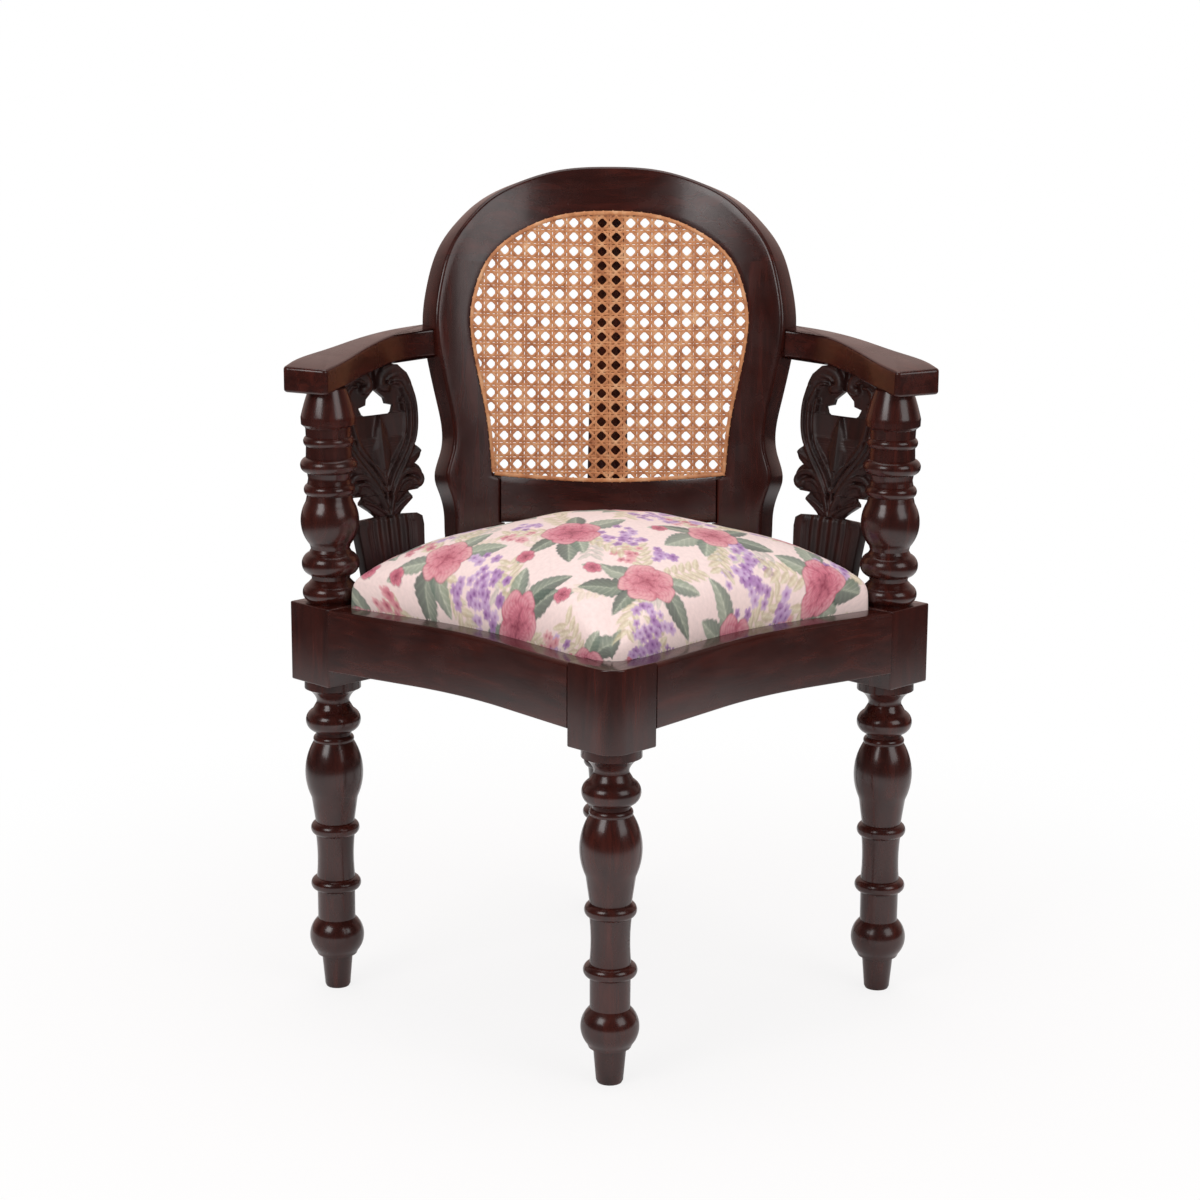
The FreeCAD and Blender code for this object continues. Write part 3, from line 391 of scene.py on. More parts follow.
def wooden_pair(name, grids, node_name, grains, finish=wood, crease=usual_crease):
    """The left piece and its mirror image; the word side in both names becomes left and right."""
    for side, way, grain in zip(("left", "right"), (1.0, -1.0), grains):
        turned = [grid * np.array([way, 1.0, 1.0]) for grid in grids]
        wooden(name.replace("side", side), turned, node_name.replace("side", side), grain, finish, crease)


post_lower = profile(post_steps) + [block_high, 0]
post_upper = profile(head_steps) * [-1, 1] + [arm_under + 0.4, 0]
post = np.concatenate([post_lower, post_upper])
rear_post = profile([(block_high, rear_post_foot), (rear_post_top, rear_post_head)])
side_leg = [leg_turning(-side_x, 0), block(-side_x, 0, -math.pi / 4, block_edge), lathe(post, -side_x, 0)]
front_leg = [leg_turning(0, -front_y)] + front_block()
rear_block = block(0, front_y, math.pi * 1.25, outer_round)
rear_leg = [leg_turning(0, front_y), rear_block, lathe(rear_post, 0, front_y)]
upright_grain = (0, 0, 1)
wooden_pair("side_turned_leg", side_leg, "side_leg", (upright_grain, upright_grain))
wooden("front_turned_leg", front_leg, "front_leg", upright_grain)
wooden("rear_turned_leg", rear_leg, "rear_leg", upright_grain)

# %% [markdown]
# Each rail is one cross-section carried from block to block: a rounded top edge outside, the rim, the
# rebate for the seat, the inner face. The front rails bow inwards in plan, so the section follows a bent
# line; a sweep along a curve object could do it, but here the inset is simply added to the bent line.

# %% Seat rails
def bent(x, start, bend, end, radius):
    """Height of a line from start to end through a bend, with the bend rounded, at each x."""
    line = rounded([(*start, 0), (*bend, radius), (*end, 0)], 24, False)
    return np.interp(x, line[:, 0], line[:, 1])


def rail(bow, width, rim):
    """Left-hand rail on the left block's axes: x to the other block, y inwards, then set in the chair."""
    far_x = (side_x + front_y) * cos45
    far_y = (side_x - front_y) * cos45
    start = (block_half, -block_half)
    end = (far_x - block_half, far_y - block_half)
    x = np.linspace(start[0], end[0], 90)
    if bow:
        middle = ((start[0] + end[0]) / 2, (start[1] + end[1]) / 2 + bow)
        y = bent(x, start, middle, end, bend_round)
    else:
        y = np.interp(x, (start[0], end[0]), (start[1], end[1]))
    stretch = np.sqrt(1 + np.gradient(y, x) ** 2)
    section = rounded([(0, rail_low, rail_arris), (0, rail_high, rail_top_round),
                       (rim, rail_high, rail_arris), (rim, ledge, 0.6),
                       (width, ledge, 1.0), (width, rail_low, rail_arris)])
    inset, level = section[:, 0], section[:, 1]
    across = y[:, None] + inset * stretch[:, None]
    along = np.broadcast_to(x[:, None], across.shape)
    grid = np.stack([(along + across) * cos45 - side_x, (across - along) * cos45,
                     np.broadcast_to(level, across.shape)], -1)
    ends = [np.broadcast_to(grid[row, :-1].mean(0), grid[row].shape)[None] for row in (0, -1)]
    return np.concatenate([ends[0], grid, ends[1]])


front_rail = rail(rail_bow, front_rail_width, front_rim)
rear_rail = rail(0.0, rear_rail_width, rear_rim) * np.array([1.0, -1.0, 1.0])
to_right_rear, to_right_front = (1, 1, 0), (1, -1, 0)
wooden_pair("front_side_seat_rail", [front_rail], "front_side_rail", (to_right_front, to_right_rear))
wooden_pair("rear_side_seat_rail", [rear_rail], "rear_side_rail", (to_right_rear, to_right_front))

# %% [markdown]
# The arms are flat boards, curved in plan, whose top rises a little towards the back. Their plan is two
# smooth edges; the board is that plan carried upwards and then sheared to the two sloping faces.

# %% Smooth curves
def smooth(points, count):
    """Natural cubic spline through points, with knots at chord lengths.

    One linear system gives the second derivatives that make the slopes meet at every point.
    """
    points = np.asarray(points, float)
    knots = np.r_[0.0, np.cumsum(np.linalg.norm(np.diff(points, axis=0), axis=1))]
    gap = np.diff(knots)
    size = len(points)
    inner = np.arange(1, size - 1)
    system = np.eye(size)
    system[inner, inner - 1] = gap[:-1]
    system[inner, inner] = 2 * (gap[:-1] + gap[1:])
    system[inner, inner + 1] = gap[1:]
    change = np.zeros_like(points)
    change[1:-1] = 6 * np.diff(np.diff(points, axis=0) / gap[:, None], axis=0)
    bend = np.linalg.solve(system, change)
    at = np.linspace(0, knots[-1], count)
    k = np.clip(np.searchsorted(knots, at, side="right") - 1, 0, size - 2)
    done, left, g = (at - knots[k])[:, None], (knots[k + 1] - at)[:, None], gap[k][:, None]
    cubic = (bend[k] * left ** 3 + bend[k + 1] * done ** 3) / (6 * g)
    return cubic + (points[k] / g - bend[k] * g / 6) * left + (points[k + 1] / g - bend[k + 1] * g / 6) * done


# %% Arms
arm_outer = [(-328, -20), (-318, 16), (-296, 54), (-264, 110), (-230, 153), (-195, 180)]
arm_inner = [(-283, -36), (-268, 2), (-255, 46), (-241, 88), (-225, 121), (-204, 144), (-178, 158)]
arm_end_round, arm_edge_round = 5.0, 3.2


def arm():
    """Plan between two smooth edges with a softened front end, sheared between the sloping faces.

    Top and underside are ruled strips between the two long edges, so that the curved plan closes cleanly.
    """
    outer = smooth(arm_outer, 60)
    inner = smooth(arm_inner, 60)
    front = rounded([(*outer[6], 0), (*outer[0], arm_end_round), (*inner[0], arm_end_round), (*inner[6], 0)],
                    8, False)
    outline = np.concatenate([front, inner[7:], outer[:6:-1]])
    outline = np.concatenate([outline, outline[:1]])
    board = upright(outline, 0.0, arm_thick, arm_edge_round)[1:-1]
    share = board[..., 2] / arm_thick
    low = arm_under + arm_under_slope * board[..., 1]
    high = arm_under + arm_thick + arm_top_slope * board[..., 1]
    board[..., 2] = low + (high - low) * share
    half = (len(outline) - 1) // 2
    faces = [np.stack([ring[:half], ring[::-1][:half]], 1) for ring in board[[0, -1], :-1]]
    return [board] + faces


wooden_pair("side_curved_arm", arm(), "side_arm", ((0.45, 1, 0), (-0.45, 1, 0)))

# %% [markdown]
# The back is cut from a curved wall, like a stave of a barrel, and leans back as a whole. It is easiest to
# draw flat: distance round the curve and height up the slope. One function then bends and tilts it, and
# the frame is a section with rounded edges carried between an inner and an outer line.

# %% Sizes of the back
barrel = 300.0
back_thick = 30.0
back_edge = 4.0
lean = math.radians(10.0)
back_y = 165.0
# Left halves of the two outlines: degrees round the barrel and millimetres up the slope.
arch_line = [(29.5, 0), (32.3, 28), (32.8, 61.5), (33.8, 82), (34.8, 97.6), (33.5, 128), (34.4, 180),
             (36.5, 226), (37.5, 261), (36.5, 306), (34, 345), (29.9, 374.8), (25.8, 395.6), (17.8, 418.8),
             (9.8, 431.5), (0, 435.2)]
cane_line = [(24.1, 105.2), (25.3, 163.6), (28.6, 243.4), (29.0, 275), (27.9, 302), (25.8, 327),
             (22.3, 347.5), (18.5, 361.2), (10.3, 379), (0, 384.2)]
cane_corner_turn, cane_corner_height = cane_line[0]
foot_turn, rail_turn = 21.6, 22.6
rail_under, sill_height, crest_joint = 51.5, 98.2, 330.0
print("back", arch_line[-1][1], "mm up the slope, cane", cane_line[-1][1] - sill_height, "mm")


# %% Bending onto the barrel
def flat_line(line):
    """Left half of an outline and its mirror image, in millimetres round the curve and up the slope."""
    half = np.array(line, float) * [-math.radians(barrel), 1.0]
    return np.concatenate([half, half[-2::-1] * [-1, 1]])


def on_back(place, depth):
    """Bends (round, up) places onto the barrel at a depth behind its face.

    The distance round the barrel becomes a turn; the whole is then leaned back and set on the rail.
    """
    turn = place[..., 0] / barrel
    reach = barrel + depth
    x = reach * np.sin(turn)
    y = reach * np.cos(turn) - barrel
    z = place[..., 1]
    return np.stack([x, y * math.cos(lean) + z * math.sin(lean) + back_y,
                     z * math.cos(lean) - y * math.sin(lean) + rail_high], -1)


def frame_section(edge, fills=6):
    """Closed section of four quarter circles and filled faces.

    Each row is a share of the width, an offset along the width and a depth behind the face.
    """
    turn = np.linspace(0, np.pi / 2, 6)
    near, far = edge * (1 - np.cos(turn)), edge * (1 - np.sin(turn))
    flat = np.linspace(0, 1, fills + 2)[1:-1]
    zero = np.zeros(6)
    one = np.ones(6)
    pieces = [np.stack([zero, near, far], 1), np.stack([flat, edge * (1 - 2 * flat), 0 * flat], 1),
              np.stack([one, -far, near], 1), np.stack([one, -near, back_thick - far], 1),
              np.stack([1 - flat, edge * (2 * flat - 1), 0 * flat + back_thick], 1),
              np.stack([zero, far, back_thick - near], 1)]
    loop = np.concatenate(pieces)
    return np.concatenate([loop, loop[:1]])


def band(inner, outer):
    """Section carried along the strip between two flat lines, bent onto the barrel, with closed ends."""
    section = frame_section(back_edge)
    across = outer - inner
    width = np.linalg.norm(across, axis=1)[:, None]
    shift = section[:, 0] * width + section[:, 1]
    place = inner[:, None] + (across / width)[:, None] * shift[..., None]
    grid = on_back(place, section[:, 2])
    ends = [np.broadcast_to(grid[row, :-1].mean(0), grid[row].shape)[None] for row in (0, -1)]
    return np.concatenate([ends[0], grid, ends[1]])


# %% Stiles, crest and bottom rail
arch = smooth(flat_line(arch_line), 400)
opening = smooth(flat_line(cane_line), 300)


def at_height(line, height):
    """Distance round the curve of a line's left half at given heights."""
    left = line[:len(line) // 2]
    return np.interp(height, left[:, 1], left[:, 0])


def stile():
    """Left stile between the arch's line and an inner line.

    The inner line steps outwards twice: from the foot to the bottom rail, and from there to the cane.
    """
    foot = np.linspace(-0.5, rail_under - 0.5, 30)
    beside_rail = np.linspace(rail_under + 0.1, sill_height - 0.2, 30)
    beside_cane = np.linspace(sill_height + 2.8, crest_joint, 120)
    height = np.r_[foot, beside_rail, beside_cane]
    inner = np.where(height < rail_under, foot_turn, rail_turn) * -math.radians(barrel)
    inner = np.where(height > sill_height, at_height(opening, np.maximum(height, cane_corner_height)), inner)
    outer = at_height(arch, np.maximum(height, 0.0))
    grid = band(np.stack([inner, height], 1), np.stack([outer, height], 1))
    grid[..., 2] = np.maximum(grid[..., 2], rail_high)
    return grid


def crest():
    """Arch above the two joints: the outer line and the opening's top line, matched by their length."""
    upper = arch[arch[:, 1] >= crest_joint]
    lower = opening[opening[:, 1] >= crest_joint]
    ends = [(at_height(line, crest_joint), crest_joint) for line in (arch, opening)]
    upper = np.concatenate([[ends[0]], upper, [(-ends[0][0], crest_joint)]])
    lower = np.concatenate([[ends[1]], lower, [(-ends[1][0], crest_joint)]])
    return band(smooth(lower, 140), smooth(upper, 140))


def bottom_rail():
    """Curved rail between the stiles, from its lower edge to the cane's sill."""
    round_way = np.linspace(-1, 1, 70) * math.radians(rail_turn) * barrel
    share = np.abs(round_way) / (math.radians(cane_corner_turn) * barrel)
    low = np.stack([round_way, np.full_like(round_way, rail_under)], 1)
    high = np.stack([round_way, sill_height + (cane_corner_height - sill_height) * share ** 2], 1)
    return band(low, high)


slope_grain, level_grain = (0, 0.17, 1), (1, 0, 0)
wooden_pair("side_back_upright", [stile()], "side_back_stile", (slope_grain, slope_grain))
wooden("arched_crest", [crest()], "crest_rail", level_grain)
wooden("back_lower_rail", [bottom_rail()], "back_bottom_rail", level_grain)

# %% [markdown]
# The cane is woven by hand in six ways: two strands up, two across and one along each diagonal through
# every crossing, which leaves eight-sided eyes. A picture of holes would look flat from close by, so each
# strand is a thin domed ribbon that rides over and under the others and ends under the binding.

# %% Cane bark
def cane_material():
    """Split rattan bark: smooth, warm straw colour, paler and darker by noise of a strand's patches."""
    material, tree, shader = new_material("natural_cane")
    place = node(tree, "ShaderNodeTexCoord").outputs["Object"]
    patch = 0.012
    tone = node(tree, "ShaderNodeTexNoise", {"Vector": place}, in_Scale=1 / patch, in_Detail=4.0).outputs[0]
    colour = ramp(tree, tone, [(0.25, "#a1603a"), (0.5, "#cd8a5a"), (0.75, "#e4b184")])
    tree.links.new(colour, shader.inputs["Base Color"])
    shader.inputs["Roughness"].default_value = 0.42
    return material


cane = cane_material()
print("material", cane.name)

# %% Strands
pitch = 15.3
pair_half = 1.55
strand_width, strand_thick = 2.5, 0.7
strand_step, strand_tuck, shortest_strand = 3.6, 2.0, 6.0
cane_depth = 1.6
binding_half, binding_out = 2.0, 1.2
loop_step, loop_reach, loop_half, loop_high = pitch / 1.5, 2.6, 0.9, 1.7
domed = np.array([(-0.5, 0.0), (-0.3, -0.8), (0.3, -0.8), (0.5, 0.0), (0.0, 0.3), (-0.5, 0.0)])
edge_line = np.concatenate([opening, [(0.0, sill_height)], opening[:1]])
print("cane opening", np.ptp(edge_line, axis=0).round(1), "mm")


def reach_inside(edge, point, way):
    """First and last crossing of a straight line with a closed edge, as distances along the line."""
    side = (edge - point) @ np.array([-way[1], way[0]])
    hit = np.nonzero(side[:-1] * side[1:] < 0)[0]
    share = side[hit] / (side[hit] - side[hit + 1])
    crossing = edge[hit] + (edge[hit + 1] - edge[hit]) * share[:, None]
    along = (crossing - point) @ way
    return (along.min(), along.max()) if len(hit) > 1 else None


def strand(point, way, ride, wave, phase):
    """Domed ribbon along a straight line on the back; its depth swings with the crossings."""
    found = reach_inside(edge_line, np.array(point), np.array(way))
    if found is None or found[1] - found[0] < shortest_strand:
        return None
    first, last = found
    along = np.linspace(first - strand_tuck, last + strand_tuck, max(6, int((last - first) / strand_step)))
    line = np.array(point) + along[:, None] * np.array(way)
    side = np.array([-way[1], way[0]])
    place = line[:, None] + side * (domed[:, :1] * strand_width)
    swing = ride + wave * np.cos(np.pi * along / (pitch * np.hypot(*np.sign(way))) + phase)
    depth = cane_depth + swing[:, None] + domed[:, 1] * strand_thick
    return on_back(place, depth)


# %% Weave and binding
def weave():
    """All strands: pairs up and across on the pitch, and both diagonals between the crossings."""
    made = []
    rows = sill_height + pitch * np.arange(0.55, 19)
    middle_row = rows[9]
    wave_start = 240.0
    for column in range(-10, 11):
        for pair in (-1, 1):
            place = (column * pitch + pair * pair_half, wave_start)
            made.append(strand(place, (0, 1), 0.3 - 0.3 * pair, 0.3, pair))
    for row in rows:
        for pair in (-1, 1):
            made.append(strand((0.0, row + pair * pair_half), (1, 0), 0.1 * pair, 0.35, 1.5 + pair))
    for step in range(-20, 21):
        base = middle_row + (step + 0.5) * pitch
        made.append(strand((0.0, base), (cos45, cos45), -0.5, 0.3, 0.7))
        made.append(strand((0.0, base), (cos45, -cos45), -0.75, 0.3, 2.2))
    return [g for g in made if g is not None]


def binding():
    """Flat strand round the opening with a fine loop over it at every hole."""
    line = np.concatenate([opening, smooth([opening[-1], (0.0, sill_height), opening[0]], 90)[1:]])
    tangent = np.gradient(line, axis=0)
    normal = np.stack([-tangent[:, 1], tangent[:, 0]], 1)
    normal = normal / np.linalg.norm(normal, axis=1)[:, None]
    section = np.array([(-1.0, 0.0), (-0.6, -0.9), (0.6, -0.9), (1.0, 0.0), (-1.0, 0.0)])
    place = line[:, None] + normal[:, None] * (section[:, :1] * binding_half + binding_out)
    grids = [on_back(place, np.broadcast_to(section[:, 1] - 0.25, place.shape[:2]))]
    length = np.r_[0, np.cumsum(np.linalg.norm(np.diff(line, axis=0), axis=1))]
    stops = np.searchsorted(length, np.arange(4.0, length[-1], loop_step))
    over = np.linspace(0, np.pi, 7)
    for stop in stops:
        centre = line[stop] + normal[stop] * binding_out
        along = tangent[stop] / np.linalg.norm(tangent[stop])
        cross = centre + normal[stop] * (-loop_reach * np.cos(over))[:, None]
        ribbon = cross[:, None] + along * np.array([-loop_half, loop_half])[:, None]
        grids.append(on_back(ribbon, np.repeat((0.2 - loop_high * np.sin(over))[:, None], 2, 1)))
    return grids


make_piece("woven_cane", weave(), cane, "chair", ["cane_panel"], crease=50)
make_piece("cane_edge_binding", binding(), cane, "chair", ["cane_binding"], crease=50)

# %% [markdown]
# Under each arm stands a pierced board, carved on both faces: a fluted basket, leaves that curl out of it,
# a pair of ribbed scrolls rising to two hooks, and a tulip under a small star-shaped hole. A carver sinks
# the ground and leaves the ribs standing, so the relief is a height at every point of the board: the
# highest of all ribs that pass there. Ribs are curves with a half-round section. A displacement texture
# could do it, but curves stay sharp and can be placed to the millimetre.

# %% Outline and ribs of a splat
splat_out, splat_along, splat_lean = 12.0, 92.0, math.radians(9.5)
splat_half_thick, splat_arris, arris_width = 8.0, 1.6, 1.8
splat_top = 240.0
# Right half of the board: distance from its middle line and height; four numbers are an arc.
splat_edge = [(38, 0), (40.5, 35), (43.5, 62), (42.5, 71), (36.5, 75), (17, 76.5), (23, 83), (34, 91),
              (31, 99), (52, 110.5, 43.5, 127), (50, 132), (51.5, 140.5), (44.5, 148.5),
              (52, 187, 42, 222.5), (22, splat_top)]
star_edge = [(0, 182), (19.5, 182.2), (23, 190.5), (13.5, 193), (12, 199), (0, 209)]
# Ribs of the right half: points, radius at the start and at the end, and how far the crest lies below
# the face.
ribs = [
    ([(10, 108), (24, 126), (37, 146), (43, 170), (44, 192), (40, 210), (30, 222)], 7.0, 10.0, 2.6),
    ([(6, 98), (16, 114), (27, 128), (38, 144), (45, 158), (48.5, 177), (48.5, 194), (44, 209)],
     2.4, 3.4, 0.0),
    ([(3, 103), (12, 119), (23, 133), (33, 147), (39, 162), (41.5, 178), (41, 194), (36, 205)],
     2.2, 3.0, 0.3),
    ([(0, 109), (8, 124), (19, 138), (28, 151), (33, 166), (34.5, 182), (33, 196)], 1.8, 2.4, 1.2),
    ([(46, 205), (40, 219), (29, 228), (17, 226), (9, 219), (8, 212), (15, 209)], 7.0, 5.0, 0.6),
    ([(41, 212), (33, 220), (24, 221), (16, 217)], 2.6, 1.6, 0.2),
    ([(47, 213), (38, 227), (25, 234), (12, 230)], 3.0, 2.0, 0.0),
    ([(36, 208), (30, 213), (24, 213)], 2.2, 1.6, 1.0),
    ([(3, 84), (8, 98), (15, 110), (25, 118), (35, 120), (44, 116), (47, 110), (43, 105), (38, 108)],
     2.6, 4.2, 0.0),
    ([(6, 88), (12, 98), (19, 107), (28, 112), (35, 111)], 2.0, 2.6, 1.0),
    ([(12, 92), (22, 102), (32, 108), (40, 110)], 5.0, 9.0, 3.0),
    ([(30, 128), (41, 134), (49, 140)], 8.0, 6.0, 2.6),
    ([(33, 131), (42, 136), (50, 139)], 1.8, 1.2, 1.2),
    ([(8, 80), (20, 86), (32, 92)], 6.0, 5.0, 2.8),
    ([(6, 80), (18, 88), (31, 93)], 1.8, 1.2, 1.2),
    ([(1.5, 77), (6, 88), (11.5, 99)], 3.4, 3.0, 1.0),
    ([(0, 76), (0, 96), (0, 122)], 3.2, 2.0, 1.6),
]
ground_depth, rib_most = 5.6, 4.0
bud_width = ((112, 128, 146, 164, 182), (0.1, 9.0, 13.0, 8.5, 1.0))
petal_low, petal_fold, petal_high, petal_half = 126.0, 158.5, 183.0, 32.0
basket_half = ((0, 35, 62, 76), (38, 40.5, 43.5, 42))
basket_top, fluted_share, leaf_share = 76.0, 0.57, 0.62
print("splat", splat_top, "mm high,", len(ribs), "ribs on each half")


# %% Carved relief
def near(place, line):
    """Distance of every place to a polyline and the share of the line's length at the nearest point."""
    start, way = line[:-1], np.diff(line, axis=0)
    reach = (way ** 2).sum(1)
    share = np.clip(((place[..., None, :] - start) * way).sum(-1) / reach, 0, 1)
    gap = np.linalg.norm(place[..., None, :] - start - share[..., None] * way, axis=-1)
    nearest = gap.argmin(-1)[..., None]
    length = np.r_[0, np.cumsum(np.sqrt(reach))]
    along = (length[nearest] + np.take_along_axis(share, nearest, -1) * np.sqrt(reach)[nearest]) / length[-1]
    return np.take_along_axis(gap, nearest, -1)[..., 0], along[..., 0]


def carving(across, height):
    """Depth under the board's face: the sunk ground or what stands highest at each place.

    A rib falls from its crest as a circle does; the tulip is a half-round bud in front of two petals; the
    basket's flutes follow a power of |cos| and its leaf edges are narrow bell curves.
    """
    aside = np.abs(across)
    place = np.stack([aside, height], -1)
    depth = np.full(across.shape, ground_depth)
    for points, thin, thick, crest in ribs:
        gap, along = near(place, smooth(points, 28))
        radius = thin + (thick - thin) * along
        fall = 1 - np.sqrt(np.clip(1 - (gap / radius) ** 2, 0, 1))
        depth = np.where(gap < radius, np.minimum(depth, crest + fall * np.minimum(radius, rib_most)), depth)
    width = np.interp(height, *bud_width)
    bud = ground_depth - 4.4 * np.sqrt(np.clip(1 - (across / width) ** 2, 0, 1)) - 0.5 * (aside < 0.7)
    folded = np.where(height < petal_fold, 2.2 + 0.13 * (petal_fold - height), 4.6)
    petal = np.where((aside < petal_half) & (height > petal_low) & (height < petal_high), folded, 9.0)
    above_fold = (height > petal_fold) & (height < petal_high)
    petal = np.where(above_fold, petal - 2.2 * np.clip((aside - 9) / 22, 0, 1), petal)
    depth = np.where(depth > 3.6, np.minimum(depth, np.minimum(bud, petal)), depth)
    half = np.interp(height, *basket_half)
    spread = aside / half
    flute = 1.2 + 2.6 * np.abs(np.cos(np.pi * 3.5 * np.clip(spread, 0, fluted_share))) ** 1.6
    border = np.hypot(np.maximum(spread - leaf_share, 0) * half - 3.0, np.maximum(height - 66, 0) * 0.9)
    vein = np.exp(-((spread - leaf_share) * half / 1.2) ** 2)
    side_leaf = 1.0 + 1.8 * vein + 1.2 * np.exp(-(border / 1.3) ** 2)
    basket = np.where(spread < fluted_share, flute, side_leaf) + 2.0 * np.clip((height - 71) / 5, 0, 1) ** 2
    return np.where(height < basket_top, basket, depth)


def softened(grid, own, rounds):
    """Each inner value becomes the mean of its four neighbours and itself, which counts own times."""
    for _ in range(rounds):
        beside = grid[:-2, 1:-1] + grid[2:, 1:-1] + grid[1:-1, :-2] + grid[1:-1, 2:]
        grid[1:-1, 1:-1] = (own * grid[1:-1, 1:-1] + beside) / (own + 4)
    return grid


# %% Carved splats
def on_splat(across, height, depth):
    """Board coordinates to the chair: along the rear rail, leaning outwards, from the left leg's axis."""
    heading = np.array([side_x, front_y]) / math.hypot(side_x, front_y)
    out = np.array([-heading[1], heading[0]])
    reach = splat_out + depth * math.cos(splat_lean) + height * math.sin(splat_lean)
    plan = np.array([-side_x, 0.0]) + heading * (splat_along + across)[..., None] + out * reach[..., None]
    level = rail_high - depth * math.sin(splat_lean) + height * math.cos(splat_lean)
    level = np.minimum(level, arm_under + arm_under_slope * plan[..., 1] + 0.6)
    return np.concatenate([plan, level[..., None]], -1)


def splat():
    """Each half is a grid from the star hole or the middle line to the outline, on both faces.

    Strips close the outer edge and the hole; two rounds of averaging soften the carver's cuts.
    """
    edge, star = profile(splat_edge, 26), np.array(star_edge, float)
    height = np.unique(np.r_[np.linspace(-1, splat_top, 262), edge[:, 1], star[:, 1], star[0, 1] - 0.01])
    outer = np.interp(height, np.maximum.accumulate(edge[:, 1]) + 1e-6 * np.arange(len(edge)), edge[:, 0])
    inner = np.interp(height, star[:, 1], star[:, 0], left=0.0, right=0.0)
    share = np.sin(np.linspace(0, np.pi / 2, 58)) ** 1.2
    across = inner[:, None] + (outer - inner)[:, None] * share
    level = np.broadcast_to(height[:, None], across.shape)
    depth = softened(carving(across, level), 2, 2)
    depth += splat_arris * np.clip(1 - (outer[:, None] - across) / arris_width, 0, 1) ** 2
    grids = []
    hole = slice(np.argmax(inner > 0) - 1, len(inner) - np.argmax(inner[::-1] > 0) + 1)
    for side in (1, -1):
        faces = [on_splat(side * across, level, face * (depth - splat_half_thick)) for face in (1, -1)]
        grids += faces
        grids.append(np.stack([faces[0][:, -1], faces[1][:, -1]], 1))
        grids.append(np.stack([faces[0][hole, 0], faces[1][hole, 0]], 1))
    return grids


wooden_pair("side_carved_splat", splat(), "side_splat", (upright_grain, upright_grain), carved_wood_with_painted_shade, 50)

# %% [markdown]
# The seat is a loose frame with a stuffed, crowned cushion, covered in printed cotton that is pulled over
# the edge and tacked underneath. Its plan is the diamond inside the rails, cut back round the arm posts.
# A square grid is laid over that plan, ring inside ring, with the square's corners on the diamond's, so
# that the cloth's threads keep about the same spacing everywhere and the print stays even. Towards the
# rear the crown falls off sooner and dips, because the seat passes under the back's bottom rail there and
# needs room when it is lifted out. A sculpted mesh could have the same form, but not from named sizes.

# %% Seat plan
seat_gap = 1.0
notch_depth, notch_round = 14.0, 3.0
# Roundings at the front, the sides and the rear: those of the cover's edge, and softer ones inside it.
sharp_rounds = (26.0, 5.0, 8.0)
soft_rounds = (60.0, 20.0, 26.0)


def from_block(x, y):
    """Left block's axes, one along each rail, to the chair's."""
    return np.array([(x + y) * cos45 - side_x, (y - x) * cos45])


def seat_edge(bow, rim):
    """Edge of the seat along a left-hand rail: its places at the block, at the bend and at the middle line.

    The rail's two straight runs are moved inwards by the rim and crossed with each other.
    """
    b = block_half
    end_x, end_y = (side_x + front_y) * cos45 - b, (side_x - front_y) * cos45 - b
    mid_x, mid_y = (b + end_x) / 2, (end_y - b) / 2 + bow
    rise = np.array([(mid_y + b) / (mid_x - b), (end_y - mid_y) / (end_x - mid_x)])
    lift = np.array([-b - rise[0] * b, mid_y - rise[1] * mid_x]) + rim * np.hypot(1, rise)
    bend = (lift[1] - lift[0]) / (rise[0] - rise[1]) if bow else mid_x
    last = (side_x / cos45 - lift[1]) / (1 + rise[1])
    return [from_block(x, lift[k] + rise[k] * x) for k, x in ((0, b + seat_gap), (0, bend), (1, last))]


def evenly(line, count):
    """Polyline walked in equal steps."""
    length = np.r_[0, np.cumsum(np.linalg.norm(np.diff(line, axis=0), axis=1))]
    at = np.linspace(0, length[-1], count + 1)
    return np.stack([np.interp(at, length, line[:, k]) for k in (0, 1)], 1)


def seat_plan(quarter, notched, front_round, side_round, rear_round):
    """Closed plan from the front corner by way of the left one; each quarter has the same number of steps."""
    by_post, bend, front = seat_edge(rail_bow, front_rim + seat_gap)
    behind_post, _, rear = (p * [1, -1] for p in seat_edge(0.0, rear_rim + seat_gap))
    rear_cut = front_y - 2 * block_half * cos45 - seat_gap
    cut = behind_post + (rear - behind_post) * (rear_cut - behind_post[1]) / (rear[1] - behind_post[1])
    inner_corner = from_block(block_half + seat_gap, block_half + seat_gap)
    corner = inner_corner if notched else (by_post + behind_post) / 2
    turn = [(*corner, notch_round)] if notched else []
    to_post = [(-bend[0], bend[1], 0), (*front, front_round), (*bend, bend_round), (*by_post, side_round)]
    past_post = [(*behind_post, side_round), (*cut, rear_round), (-cut[0], cut[1], 0)]
    arcs = 15
    half = rounded(to_post + turn + past_post, arcs, False)
    to_side = half[1 + arcs // 2:1 + 3 * arcs]
    to_rear = half[1 + (4 if notched else 3) * arcs:-1]
    first = evenly(np.concatenate([to_side, [corner]]), quarter)
    second = evenly(np.concatenate([[corner], to_rear, [(0.0, rear_cut)]]), quarter)
    left = np.concatenate([first[:-1], second])
    return np.concatenate([left, left[-2::-1] * [-1, 1]])


def drawn_in(margin, quarter=90):
    """The seat's plan moved inwards along its normals, past the posts' notches where it clears them.

    Corners that are tighter than the move are rounded more, so that the line never folds over.
    """
    front_round, side_round, rear_round = sharp_rounds
    side_round = max(side_round, margin + 0.5)
    rear_round = max(rear_round, margin + 2.0)
    plan = seat_plan(quarter, margin < notch_depth, front_round, side_round, rear_round)
    return plan - outward(plan) * margin


print("seat plan", np.ptp(drawn_in(0.0), axis=0).round(1), "mm")

